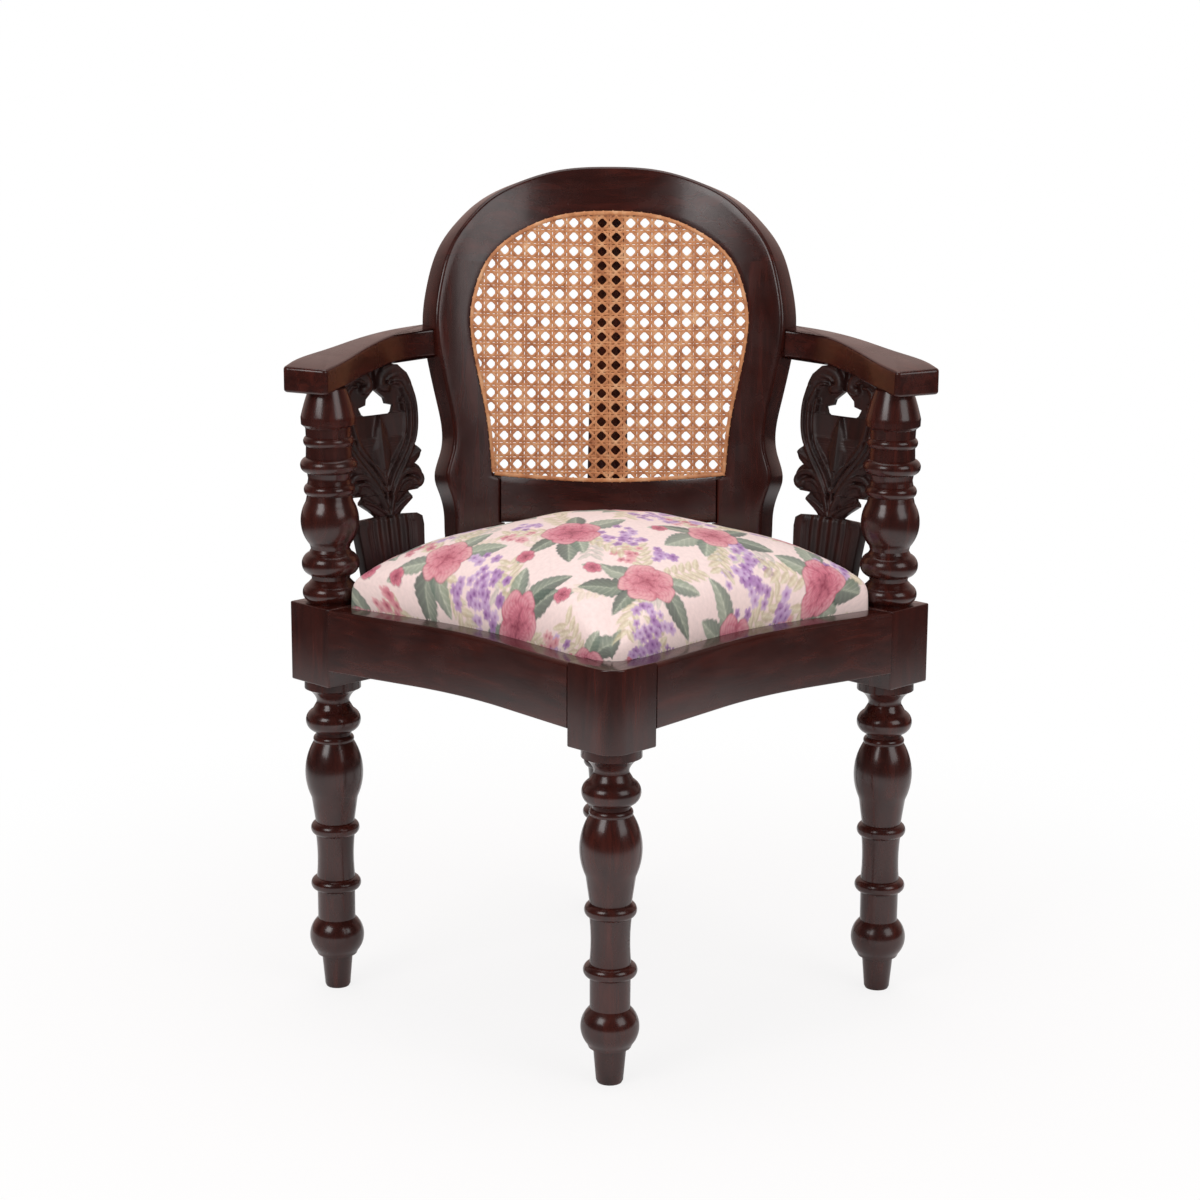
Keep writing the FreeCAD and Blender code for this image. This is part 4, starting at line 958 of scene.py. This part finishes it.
# %% Crown and skirt of the cushion
crown_high = 92.0
crown_power, crown_fullness = 1.25, 0.20
crown_middle, seat_middle = np.array([0.0, -16.0]), (0.0, -10.0)
crown_reach = 230.0
edge_share = 0.90
# Towards the rear, a ring at a share of the first row lies as low as one at the second row's does elsewhere.
rear_ring = [0.0, 0.24, 0.36, 0.48, 0.62, 0.80, 1.0]
rear_fall = [0.0, 0.21, 0.38, 0.67, 0.90, 0.985, 1.0]
rear_spread = 0.75
rear_dip, dip_from, dip_to = 0.34, 105.0, 170.0
cloth_stretch = 1.16
seat_under = 397.7
# The skirt from the rim downwards: inset, level and how far the cloth has run.
skirt_steps = [(0.0, rail_high, 0.0), (0.0, 407.0, 8.0), (0.0, 400.5, 14.5), (0.6, 398.6, 17.0),
               (2.4, seat_under, 19.0), (12.0, seat_under, 28.0), (21.6, seat_under, 38.0),
               (22.0, seat_under + 1.0, 39.0)]


def ring_steps(rings, width):
    """Ring shares that are evenly spaced along the crown's profile, which is steep at the edge."""
    share = 1 - np.linspace(1, 0, 4000) ** 4
    rise = crown_high * (1 - share ** crown_power) ** crown_fullness
    length = np.r_[0, np.cumsum(np.hypot(np.diff(share) * width, np.diff(rise)))]
    return np.interp(np.linspace(0, length[-1], rings + 1), length, share)


def crown_grid(rings):
    """Square grid over the plan, the flat cloth's coordinates, and the rim.

    The height is crown_high times a power of (1-|s|^p)(1-|t|^p). Rearwards it falls sooner and dips, so
    that the cushion passes under the back, also when it is lifted. Inside the rim the rings follow a
    softer plan without the posts' notches.
    """
    sharp = seat_plan(2 * rings, True, *sharp_rounds)
    soft = seat_plan(2 * rings, False, *soft_rounds)
    middle = crown_middle
    k = np.arange(-rings, rings + 1)
    a, b = np.meshgrid(k, k, indexing="ij")
    ring = np.maximum(np.abs(a), np.abs(b))
    safe = np.maximum(ring, 1)
    along = np.select([(b == -ring) & (a < ring), (a == ring) & (b < ring), (b == ring) & (a > -ring)],
                      [a + ring, b + 3 * ring, 5 * ring - a], 7 * ring - b)
    column = along / (8 * safe) * (len(sharp) - 1)
    before = np.minimum(column.astype(int), len(sharp) - 2)
    part = (column - before)[..., None]
    edges = [plan[before] * (1 - part) + plan[before + 1] * part for plan in (sharp, soft)]
    share = ring_steps(rings, crown_reach)[ring]
    keen = np.clip((share - edge_share) / (1 - edge_share), 0, 1)[..., None] ** 2
    edge = edges[1] + (edges[0] - edges[1]) * keen
    plan = middle + (edge - middle) * share[..., None]
    rearward = np.clip((a + b) / (2 * safe), 0, 1) ** rear_spread
    lowered = share + rearward * (np.interp(share, rear_ring, rear_fall) - share)
    s, t = (np.abs(c) / safe * lowered for c in (a, b))
    full = np.maximum((1 - s ** crown_power) * (1 - t ** crown_power), 0) ** crown_fullness
    under_back = np.clip((plan[..., 1] - dip_from) / (dip_to - dip_from), 0, 1)
    level = rail_high + crown_high * full * (1 - rear_dip * under_back ** 2 * (3 - 2 * under_back))
    cloth = middle + (edges[1] - middle) * (ring / rings * cloth_stretch)[..., None]
    return np.concatenate([plan, level[..., None]], -1), cloth, sharp


def skirt(rim):
    """From the crown's rim down the seat's sides, round the lower edge and in under the frame.

    Each row is the plan drawn in by that step's inset; the last one closes in the middle.
    """
    quarter = len(rim) // 4
    insets, levels, runs = np.array(skirt_steps).T
    rows = [np.append(drawn_in(inset, quarter), np.full((len(rim), 1), level), 1)
            for inset, level in zip(insets, levels)]
    grid = np.stack(rows + [np.broadcast_to([*seat_middle, levels[-1]], rows[0].shape)])
    run = np.append(runs, runs[-1])[:, None, None]
    return grid, rim * (cloth_stretch * (1 + run / crown_reach))


# %% [markdown]
# Stuffing pushes the cover outwards. A cloth simulation lets air pressure inflate a coarse copy that is held
# at the frame; where each point may go is capped, so the seat keeps its measured shape. The movement is
# then read off as a smooth field over the plan and carried over to the fine grid.

# %% Inflating the cover
voxel = 0.0055
pressure, cloth_frames = 4.0, 20
held_rim, fade_height = 4.0, 30.0


def shaped(piece):
    """New mesh of an object as its modifiers leave it."""
    return bpy.data.meshes.new_from_object(piece.evaluated_get(bpy.context.evaluated_depsgraph_get()))


def inflated(points, rings, limit):
    """Moves grid points by the capped, smoothed movement of a simulated copy, fading out at the rim."""
    scene = bpy.context.scene
    crown, _, rim = crown_grid(rings)
    copy = make_mesh("cover_pattern", [crown, skirt(rim)[0]])
    pattern = bpy.data.objects.new("cover_pattern", copy)
    scene.collection.objects.link(pattern)
    remesh = pattern.modifiers.new("voxels", "REMESH")
    remesh.mode = "VOXEL"
    remesh.voxel_size = voxel
    pattern.data = shaped(pattern)
    pattern.modifiers.remove(remesh)
    before = positions(pattern.data)
    held = pattern.vertex_groups.new(name="held")
    held.add(np.nonzero(before[:, 2] < (rail_high + held_rim) * MM)[0].tolist(), 1.0, "REPLACE")
    cloth = pattern.modifiers.new("cloth", "CLOTH").settings
    cloth.quality = 6
    cloth.use_pressure = True
    cloth.uniform_pressure_force = pressure
    cloth.vertex_group_mass = "held"
    cloth.effector_weights.gravity = 0.0
    for number in range(1, cloth_frames + 1):
        scene.frame_set(number)
    after = positions(shaped(pattern))
    scene.frame_set(1)
    bpy.data.objects.remove(pattern)
    moved = (after - before) / MM
    size = np.linalg.norm(moved, axis=1)[:, None]
    moved *= limit / np.maximum(size, limit)
    print("inflated by up to", np.linalg.norm(moved, axis=1).max().round(2), "mm")
    fade = np.clip((points[..., 2:] - rail_high) / fade_height, 0, 1)
    return points + field(before / MM, moved, points) * fade


def field(places, values, points, cell=9.0, half=320.0):
    """Mean value in square cells of the plan, read between the cells' middles at points.

    Sums and counts are averaged with their neighbours first, which also fills the empty cells.
    """
    count = int(2 * half / cell)
    inside = ((places[:, :2] + half) / cell).astype(int)
    top = places[:, 2] > rail_high
    flat = (inside[:, 0] * count + inside[:, 1])[top]
    weights = np.append(values[top], np.ones((len(flat), 1)), 1)
    sums = [np.bincount(flat, weights[:, k], count * count) for k in range(4)]
    grid = softened(np.stack(sums, -1).reshape(count, count, 4), 4, 6)
    mean = grid[..., :3] / np.maximum(grid[..., 3:], 1e-6)
    at = np.clip((points[..., :2] + half) / cell - 0.5, 0, count - 2)
    i, j = at.astype(int)[..., 0], at.astype(int)[..., 1]
    u, v = (at - np.floor(at))[..., :1], (at - np.floor(at))[..., 1:]
    return ((mean[i, j] * (1 - v) + mean[i, j + 1] * v) * (1 - u)
            + (mean[i + 1, j] * (1 - v) + mean[i + 1, j + 1] * v) * u)


# %% [markdown]
# The cotton has a cottage-garden print: full pink blossoms, lilac sprays, grey-green toothed leaves and pale
# sprigs on a cream-pink ground. Mills print it in layers, and so does this: every motif is a small formula
# that says how much it covers and in which tint, laid over what is there. The colours are kept on the
# points of the fine grid, in the cloth's own flat coordinates, so that the print runs over the edge.

# %% Colours of the print
ground = linear("#f8dfda")
rose = [linear(c) for c in ("#96374f", "#d27386", "#efbcbf")]
coral = [linear(c) for c in ("#a8455a", "#d98491", "#f0c3c1")]
lilac = [linear(c) for c in ("#783f86", "#ae7cb6", "#dabddc")]
green = [linear(c) for c in ("#3f4f46", "#6c7c6c", "#a8b09a")]
sage = [linear(c) for c in ("#66756a", "#929d89", "#c2c7b3")]
straw = [linear(c) for c in ("#b9a67c", "#d3c39c", "#e6dcc0")]
print("print ground in linear light", ground.round(3))


# %% Motifs
def blend(tones, amount):
    """Mix of three tones: dark at 0, middle at a half, pale at 1."""
    amount = np.clip(amount, 0, 1)[:, None] * 2
    low = tones[0] + (tones[1] - tones[0]) * np.minimum(amount, 1)
    return low + (tones[2] - tones[1]) * np.maximum(amount - 1, 0)


def blossom(p, size, tones):
    """Rings of rounded petals, the largest first: each rim follows a power of |cos| of the turn.

    A petal pales outwards, is darker at its sides and ends in a thin dark line.
    """
    reach, turn = np.hypot(*p.T), np.arctan2(p[:, 1], p[:, 0])
    cover, tint = np.zeros(len(p)), np.zeros((len(p), 3))
    petals = ((5, 1.0, 0.2), (6, 0.80, 0.9), (5, 0.60, 1.7), (4, 0.40, 0.5), (3, 0.20, 1.1))
    for count, part, shift in petals:
        wave = np.abs(np.cos(count / 2 * (turn + shift) + 0.3 * np.sin(2 * turn + shift)))
        rim = size * part * (0.80 + 0.20 * wave ** 0.6 + 0.03 * np.sin(9 * turn + 5 * shift))
        inside = np.clip((rim - reach) / 1.6 + 0.5, 0, 1)
        vein = 0.07 * np.cos(turn * 31 + 6 * np.sin(reach / 4))
        line = np.exp(-((reach - rim) / 1.7) ** 2)
        pale = 0.06 + 0.26 * part + 0.60 * (reach / rim) ** 2.5
        shade = pale - 0.42 * (1 - wave) ** 3 + vein - 0.32 * line
        tint += (blend(tones, shade) - tint) * inside[:, None]
        cover = np.maximum(cover, inside)
    return cover, tint


def leaf(p, length, width, tones):
    """Toothed leaf along x: half width from a sine, pale midrib, slanting veins, one half lighter."""
    x, y = p.T
    u = np.clip(x / length, 0, 1)
    half = width * np.sin(np.pi * u ** 0.8) ** 0.8 * (0.90 + 0.14 * np.abs(np.sin(np.pi * x / 6.0)))
    inside = np.clip((half - np.abs(y)) / 1.2 + 0.5, 0, 1) * (x > 0) * (x < length)
    vein = np.exp(-(np.abs((x - 1.1 * np.abs(y)) % 7.0 - 3.5) / 0.8) ** 2)
    midrib = np.exp(-y ** 2)
    towards_edge = np.abs(y) / (half + 1)
    shade = 0.42 + 0.18 * np.sign(y) + 0.22 * vein + 0.35 * midrib - 0.30 * towards_edge ** 2
    return inside, blend(tones, shade)


def floret(p, size, tones, lift):
    """Small flower of five petals with a dark eye."""
    reach, turn = np.hypot(*p.T), np.arctan2(p[:, 1], p[:, 0])
    rim = size * (0.55 + 0.45 * np.abs(np.cos(2.5 * turn)) ** 0.7)
    inside = np.clip((rim - reach) / 1.2 + 0.5, 0, 1)
    return inside, blend(tones, lift + 0.35 * reach / size - 0.5 * np.exp(-(reach / 1.3) ** 2))


# %% Layout of the print
def lay(colours, cloth, place, turn, reach, ink, motif, *details):
    """Lays one motif, turned and set at a place on the cloth, over the colours that are there."""
    local = cloth - np.asarray(place)
    near_by = np.nonzero(np.abs(local).max(1) < reach)[0]
    c, s = math.cos(turn), math.sin(turn)
    cover, tint = motif(local[near_by] @ np.array([[c, -s], [s, c]]), *details)
    colours[near_by] += (tint - colours[near_by]) * (ink * cover)[:, None]


def off(place, angle, reach):
    """The place that lies at an angle and a distance from another."""
    return np.asarray(place) + reach * np.array([math.cos(angle), math.sin(angle)])


def spray(colours, cloth, place, size, tones, random):
    """Cluster of florets, scattered more densely in the middle."""
    for _ in range(int(size * 0.85)):
        angle, reach = random.uniform(0, 2 * np.pi), size * random.uniform(0, 1) ** 0.7
        lay(colours, cloth, off(place, angle, reach), random.uniform(0, 6), 9.0, 0.92, floret,
            random.uniform(4.2, 6.4), tones, random.uniform(0.25, 0.7))


def sprig(colours, cloth, place, turn, tones, ink, random):
    """Thin stem of paired small leaves."""
    for step in range(5):
        spot = off(place, turn, 9.0 * step)
        for side in (-0.8, 0.8):
            lay(colours, cloth, spot, turn + side, 24.0, ink, leaf, random.uniform(14, 20), 3.4, tones)


def bouquet(colours, cloth, place, size, tones, turn, random):
    """Sprigs and leaves behind a blossom, lilac on one side, small pink flowers on the other, and a bud."""
    for angle in turn + np.array([1.0, 3.6, 4.6]):
        sprig(colours, cloth, off(place, angle, size * 0.9), angle, straw, 0.75, random)
    for angle, length in zip(turn + np.array([-0.75, -0.1, 0.5, 2.4, 3.1]), (40, 52, 38, 48, 40)):
        tint = (green, sage)[random.integers(2)]
        lay(colours, cloth, off(place, angle, size * 0.5), angle + random.uniform(-0.3, 0.3), 65.0, 0.9,
            leaf, length, length * random.uniform(0.22, 0.29), tint)
    spray(colours, cloth, off(place, turn + 1.6, size * 1.75), 27.0, lilac, random)
    spray(colours, cloth, off(place, turn + 4.2, size * 1.9), 13.0, lilac, random)
    spray(colours, cloth, off(place, turn - 1.5, size * 1.8), 15.0, coral, random)
    lay(colours, cloth, off(place, turn + 5.6, size * 1.7), turn + 5.6, 24.0, 0.9, leaf, 20.0, 4.5, sage)
    lay(colours, cloth, off(place, turn + 5.6, size * 2.0), turn, 22.0, 1.0, blossom, size * 0.33, rose)
    lay(colours, cloth, place, turn, size * 1.2, 1.0, blossom, size, tones)


def floral(cloth):
    """Whole print: pale sprigs all over the ground, then bouquets on a loose net."""
    random = np.random.default_rng(5)
    colours = np.tile(ground, (len(cloth), 1))
    for x in range(-400, 401, 80):
        for y in range(-320, 361, 80):
            place = (x + random.uniform(-25, 25), y + random.uniform(-25, 25))
            turn = random.uniform(0, 2 * np.pi)
            sprig(colours, cloth, place, turn, (sage, straw)[random.integers(2)], 0.42, random)
    for row, y in enumerate(range(-270, 251, 104)):
        for column in range(-3, 4):
            x = column * 128 + 64 * (row % 2) - 38
            place = (x + random.uniform(-13, 13), y + random.uniform(-13, 13))
            bouquet(colours, cloth, place, random.uniform(25, 31), (rose, coral)[(row + column) % 2],
                    random.uniform(0, 2 * np.pi), random)
    return colours


# %% Printed cotton
def plain_weave(tree, place, thread):
    """Two sets of ridges across each other, one ridge to a thread.

    A wave texture of scale 1 has 20 radians to the metre, so the scale is a full turn over 20 times a thread.
    """
    ridges = 2 * math.pi / 20 / thread
    warp, weft = (node(tree, "ShaderNodeTexWave", {"Vector": place}, bands_direction=axis,
                       in_Scale=ridges).outputs[1] for axis in "XY")
    return node(tree, "ShaderNodeMath", {0: warp, 1: weft}, operation="MULTIPLY").outputs[0]


def printed_cotton():
    """Printed colours, toned by uneven yarn, with the ridges of a fine plain weave and a dull sheen."""
    material, tree, shader = new_material("floral_cotton")
    colour = node(tree, "ShaderNodeAttribute", attribute_name="print").outputs["Color"]
    place = node(tree, "ShaderNodeAttribute", attribute_name="cloth").outputs["Vector"]
    thread, slub_length = 0.0006, 0.004
    ridges = plain_weave(tree, place, thread)
    slub = node(tree, "ShaderNodeTexNoise", {"Vector": place}, in_Scale=1 / slub_length,
                in_Detail=3.0).outputs[0]
    worn = node(tree, "ShaderNodeMapRange", {"Value": slub}, in_1=0.25, in_2=0.75, in_3=0.93,
                in_4=1.05).outputs[0]
    toned = node(tree, "ShaderNodeMix", {"A": colour, "B": worn}, data_type="RGBA", blend_type="MULTIPLY",
                 in_Factor=1.0)
    bump = node(tree, "ShaderNodeBump", {"Height": ridges}, in_Strength=0.25, in_Distance=0.0002).outputs[0]
    tree.links.new(toned.outputs["Result"], shader.inputs["Base Color"])
    tree.links.new(bump, shader.inputs["Normal"])
    shader.inputs["Roughness"].default_value = 0.62
    shader.inputs["Sheen Weight"].default_value = 0.15
    return material


# %% Cushion
fine_rings, coarse_rings, most_movement = 165, 40, 3.0


def cushion():
    """Fine crown and skirt with their flat cloth coordinates and printed colours."""
    crown, crown_cloth, rim = crown_grid(fine_rings)
    sides, sides_cloth = skirt(rim)
    crown = inflated(crown, coarse_rings, most_movement)
    cloth = np.concatenate([crown_cloth.reshape(-1, 2), sides_cloth.reshape(-1, 2)])
    extra = {"print": np.append(floral(cloth), np.ones((len(cloth), 1)), 1),
             "cloth": np.append(cloth * MM, np.zeros((len(cloth), 1)), 1)}
    piece = make_piece("printed_cushion", [crown, sides], printed_cotton(), "seat",
                       ["seat_cover", "seat_pad"], crease=60, extra=extra)


cushion()

# %% [markdown]
# Under the stuffing the seat is a frame of bars with jute straps stretched across it both ways, hessian over
# the straps, and a thin black cloth that closes it from below. They are seen only from underneath or when the
# seat is taken apart, but they are real cloth: straps cut off square on the bars and two sheets cut to the
# seat's plan. Both sheets are the plan drawn in by a margin, so they stay inside the frame.

# %% Jute, hessian and black cotton
def plain_cloth(name, dark, pale, thread):
    """Undyed or plain dyed cloth: plain weave on the seat's cornerwise axes, with uneven yarn and painted
    shade between the threads.
    """
    material, tree, shader = new_material(name)
    place = node(tree, "ShaderNodeTexCoord").outputs["Object"]
    turned = node(tree, "ShaderNodeMapping", {"Vector": place}, in_Rotation=(0, 0, math.pi / 4)).outputs[0]
    ridges = plain_weave(tree, turned, thread)
    yarn = node(tree, "ShaderNodeTexNoise", {"Vector": turned}, in_Scale=0.3 / thread,
                in_Detail=3.0).outputs[0]
    # The colour runs from dark to pale with the weave's ridges and the yarn: painted shade in the gaps
    # between the threads, and the yarn's uneven tone.
    tone = node(tree, "ShaderNodeMath", {0: ridges, 1: yarn}, operation="ADD").outputs[0]
    tree.links.new(ramp(tree, tone, [(0.35, dark), (1.0, pale)]), shader.inputs["Base Color"])
    bump = node(tree, "ShaderNodeBump", {"Height": ridges}, in_Strength=0.5,
                in_Distance=thread / 3).outputs[0]
    tree.links.new(bump, shader.inputs["Normal"])
    shader.inputs["Roughness"].default_value = 0.9
    return material


jute = plain_cloth("jute_webbing", "#6b4f31", "#a98a5e", 0.0022)
hessian = plain_cloth("hessian", "#86683f", "#bd9c69", 0.0016)
black = plain_cloth("black_cotton", "#0d0c0c", "#2b2826", 0.0008)
print("cloths", jute.name, hessian.name, black.name)

# %% Straps and cloths of the seat
strap_width, strap_step, strap_thick = 46.0, 62.0, 1.4
strap_middle, strap_margin = side_x * cos45, 13.5
strap_layers = (("lower", 0, 414.8), ("upper", 1, 416.3))
sheet_thick, sheet_edge = 0.8, 0.25
sheets = (("hessian_sheet", "seat_hessian", "webbing", 8.0, 417.8, hessian),
          ("black_under_cloth", "seat_bottom_cloth", "bottom_cloth", 22.3, seat_under, black))


def straps(axis, low):
    """Five ribbons along one of the left block's axes, each cut off square.

    A ribbon ends where the first of its two long sides meets the seat's edge; also gives the area in m2.
    """
    plan = drawn_in(strap_margin) + [side_x, 0.0]
    edge = np.stack([plan[:, 0] - plan[:, 1], plan[:, 0] + plan[:, 1]], 1) * cos45
    way = np.eye(2)[axis]
    ribbons, area = [], 0.0
    for across in strap_middle + strap_step * np.arange(-2, 3):
        low_side, high_side = across - strap_width / 2, across + strap_width / 2
        sides = [reach_inside(edge, np.roll([0.0, side], axis), way) for side in (low_side, high_side)]
        start, end = max(side[0] for side in sides), min(side[1] for side in sides)
        corners = np.array([(start, low_side), (end, low_side), (end, high_side), (start, high_side)])
        plan_corners = from_block(*(corners[:, ::-1] if axis else corners).T).T
        outline = rounded([(*corner, 1.0) for corner in plan_corners])
        ribbons.append(upright(outline, low, low + strap_thick, 0.4))
        area += (end - start) * strap_width
    return ribbons, area * MM ** 2


def seat_cloths():
    """Straps both ways, the hessian over them and the black cloth below."""
    for name, axis, low in strap_layers:
        ribbons, area = straps(axis, low)
        piece = make_piece("jute_straps_" + name, ribbons, jute, "seat", ["seat_webbing_" + name])
    for name, node_name, slot, margin, low, material in sheets:
        outline = drawn_in(margin)
        sheet = upright(outline, low, low + sheet_thick, sheet_edge, seat_middle)
        piece = make_piece(name, [sheet], material, "seat", [node_name])


seat_cloths()

# %% [markdown]
# The pieces that are left, glue blocks, dowels and the bars of the seat, have the right shape already. They
# were sawn and planed but never polished, so they keep the paler open wood; the screws are plain steel.

# %% Plain pieces
def plain_steel():
    """Bare steel with fine uneven rubbing: grey metal whose gloss varies over a few millimetres."""
    material, tree, shader = new_material("plain_steel")
    place = node(tree, "ShaderNodeTexCoord").outputs["Object"]
    patch = 0.003
    rub = node(tree, "ShaderNodeTexNoise", {"Vector": place}, in_Scale=1 / patch, in_Detail=4.0).outputs[0]
    rough = node(tree, "ShaderNodeMapRange", {"Value": rub}, in_1=0.3, in_2=0.7, in_3=0.28,
                 in_4=0.46).outputs[0]
    tree.links.new(rough, shader.inputs["Roughness"])
    tree.links.new(ramp(tree, rub, [(0.3, "#77736d"), (0.7, "#9a968f")]), shader.inputs["Base Color"])
    shader.inputs["Metallic"].default_value = 1.0
    return material


def dress(names, material):
    """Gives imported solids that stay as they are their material."""
    for name in names:
        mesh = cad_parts[name].data
        mesh.materials.clear()
        mesh.materials.append(material)
    print(material.name, "on", len(names), "solids")


dress([side + "_corner_block" for side in ("front", "rear", "left", "right")], plain_wood)
dress(["seat_bar_" + side for side in ("front_left", "front_right", "rear_left", "rear_right")], plain_wood)
dress(["back_dowels", "arm_dowels"], plain_wood)
dress(["corner_block_screws"], plain_steel())

# %% [markdown]
# The lens and the height of the camera are those of the photograph: a long lens a little above the arms.
# They were worked out from the feet, the blocks and the arm posts, whose sizes are known. A camera could
# also be aimed by an empty and a constraint, but three small turns in a row give the same view each time.

# %% Camera
camera_place = (-0.0298, -2.6224, 1.0036)
pan_angle, down_angle, roll_angle = 0.24, 12.59, 0.16


def place_camera():
    """Camera a little left of the middle, panned, tilted down and rolled as in the photograph."""
    camera = bpy.data.objects.new("camera", bpy.data.cameras.new("camera"))
    camera.data.sensor_width = 36.0
    camera.data.lens = 78.69
    camera.data.shift_x = 0.0253
    pan = Matrix.Rotation(math.radians(pan_angle), 4, "Z")
    tilt = Matrix.Rotation(math.radians(90 - down_angle), 4, "X")
    roll = Matrix.Rotation(math.radians(roll_angle), 4, "Z")
    camera.matrix_world = Matrix.Translation(camera_place) @ pan @ tilt @ roll
    bpy.context.collection.objects.link(camera)
    bpy.context.scene.camera = camera
    print("camera", camera.data.lens, "mm lens,", camera_place[2], "m up")


place_camera()

# %% [markdown]
# Large soft lamps stand left, right and above; floor and background are white to the camera. Dark polish
# shows what stands around it, and in an all-white room it would look grey. So its mirror rays see a dim
# room in front, a pale warm backdrop behind, and a floor that is bright only near the chair. Cards and
# flags could be built for that, but the Light Path node tells the kinds of rays apart, so a few nodes do.

# %% Lamps
aim = (0, 0, 0.5)
lamps = (("key_left", (-2.2, -2.4, 2.4), 1.6, 36),
         ("fill_right", (2.4, -2.0, 2.0), 1.8, 24),
         ("top", (0, 0.4, 3.0), 2.0, 22))


def soft_lamp(name, place, size, power):
    """Square area lamp aimed at the seat: it looks down its own axis, turned by the two angles to there."""
    lamp = bpy.data.objects.new(name, bpy.data.lights.new(name, "AREA"))
    lamp.data.energy = power
    lamp.data.size = size
    away = np.array(place, float) - np.array(aim, float)
    lamp.location = place
    down = math.acos(away[2] / np.linalg.norm(away))
    round_turn = math.atan2(away[1], away[0]) + math.pi / 2
    lamp.rotation_euler = (down, 0.0, round_turn)
    bpy.context.collection.objects.link(lamp)


# %% Background and floor
def white_world(light, room, backdrop):
    """White to the camera, softer as light; polish mirrors a dim room and, rearwards, a pale backdrop."""
    world = bpy.data.worlds.new("studio")
    world.use_nodes = True
    tree = world.node_tree
    tree.nodes.clear()
    path = node(tree, "ShaderNodeLightPath").outputs
    shown = node(tree, "ShaderNodeMath", {0: path["Is Camera Ray"], 1: path["Is Transmission Ray"]},
                 operation="MAXIMUM")
    direction = node(tree, "ShaderNodeTexCoord").outputs["Generated"]
    rearward = node(tree, "ShaderNodeSeparateXYZ", {0: direction}).outputs["Y"]
    mirrored = node(tree, "ShaderNodeMapRange", {"Value": rearward}, interpolation_type="SMOOTHSTEP",
                    in_1=0.0, in_2=0.8, in_3=room, in_4=backdrop).outputs[0]
    lit = node(tree, "ShaderNodeMix", {"Factor": path["Is Glossy Ray"], "B": mirrored}, in_A=light).outputs[0]
    strength = node(tree, "ShaderNodeMix", {"Factor": shown.outputs[0], "A": lit}, in_B=1.0).outputs[0]
    tint = node(tree, "ShaderNodeMix", {"Factor": path["Is Glossy Ray"]}, data_type="RGBA",
                in_A=rgba("#ffffff"), in_B=rgba("#f2d4cc"))
    back = node(tree, "ShaderNodeBackground", {"Strength": strength, "Color": tint.outputs["Result"]})
    node(tree, "ShaderNodeOutputWorld", {"Surface": back.outputs[0]})
    bpy.context.scene.world = world


def white_floor():
    """Wide pale floor that keeps the chair's shadow and passes into the white background further out.

    Both the passing over and what polish mirrors of the floor go by the distance from the middle, in metres.
    """
    material, tree, shader = new_material("studio_floor")
    shader.inputs["Roughness"].default_value = 0.9
    shader.inputs["Specular IOR Level"].default_value = 0.1
    path = node(tree, "ShaderNodeLightPath").outputs
    place = node(tree, "ShaderNodeTexCoord").outputs["Object"]
    away = node(tree, "ShaderNodeVectorMath", {0: place}, operation="LENGTH").outputs["Value"]
    mirrored = node(tree, "ShaderNodeMapRange", {"Value": away}, interpolation_type="SMOOTHSTEP",
                    in_1=0.9, in_2=1.9, in_3=0.95, in_4=0.06).outputs[0]
    paper = node(tree, "ShaderNodeMix", {"Factor": path["Is Glossy Ray"], "B": mirrored}, data_type="RGBA",
                 in_A=rgba("#f7efee"))
    tree.links.new(paper.outputs["Result"], shader.inputs["Base Color"])
    far = node(tree, "ShaderNodeMapRange", {"Value": away}, interpolation_type="SMOOTHSTEP",
               in_1=0.35, in_2=1.1, in_3=0.82).outputs[0]
    share = node(tree, "ShaderNodeMath", {0: far, 1: path["Is Camera Ray"]}, operation="MULTIPLY").outputs[0]
    white = node(tree, "ShaderNodeEmission", in_Strength=1.0).outputs[0]
    mixed = node(tree, "ShaderNodeMixShader", {0: share, 1: shader.outputs[0], 2: white}).outputs[0]
    tree.links.new(mixed, tree.nodes["Material Output"].inputs["Surface"])
    half = 12.0
    corners = [(-half, -half, 0), (half, -half, 0), (half, half, 0), (-half, half, 0)]
    mesh = bpy.data.meshes.new("floor")
    mesh.from_pydata(corners, [], [(0, 1, 2, 3)])
    mesh.materials.append(material)
    floor = bpy.data.objects.new("floor", mesh)
    bpy.context.collection.objects.link(floor)


white_world(light=0.62, room=0.05, backdrop=0.66)
white_floor()
for lamp_values in lamps:
    soft_lamp(*lamp_values)
bpy.context.scene.view_settings.view_transform = "Standard"
print(len(lamps), "lamps and the floor in place")
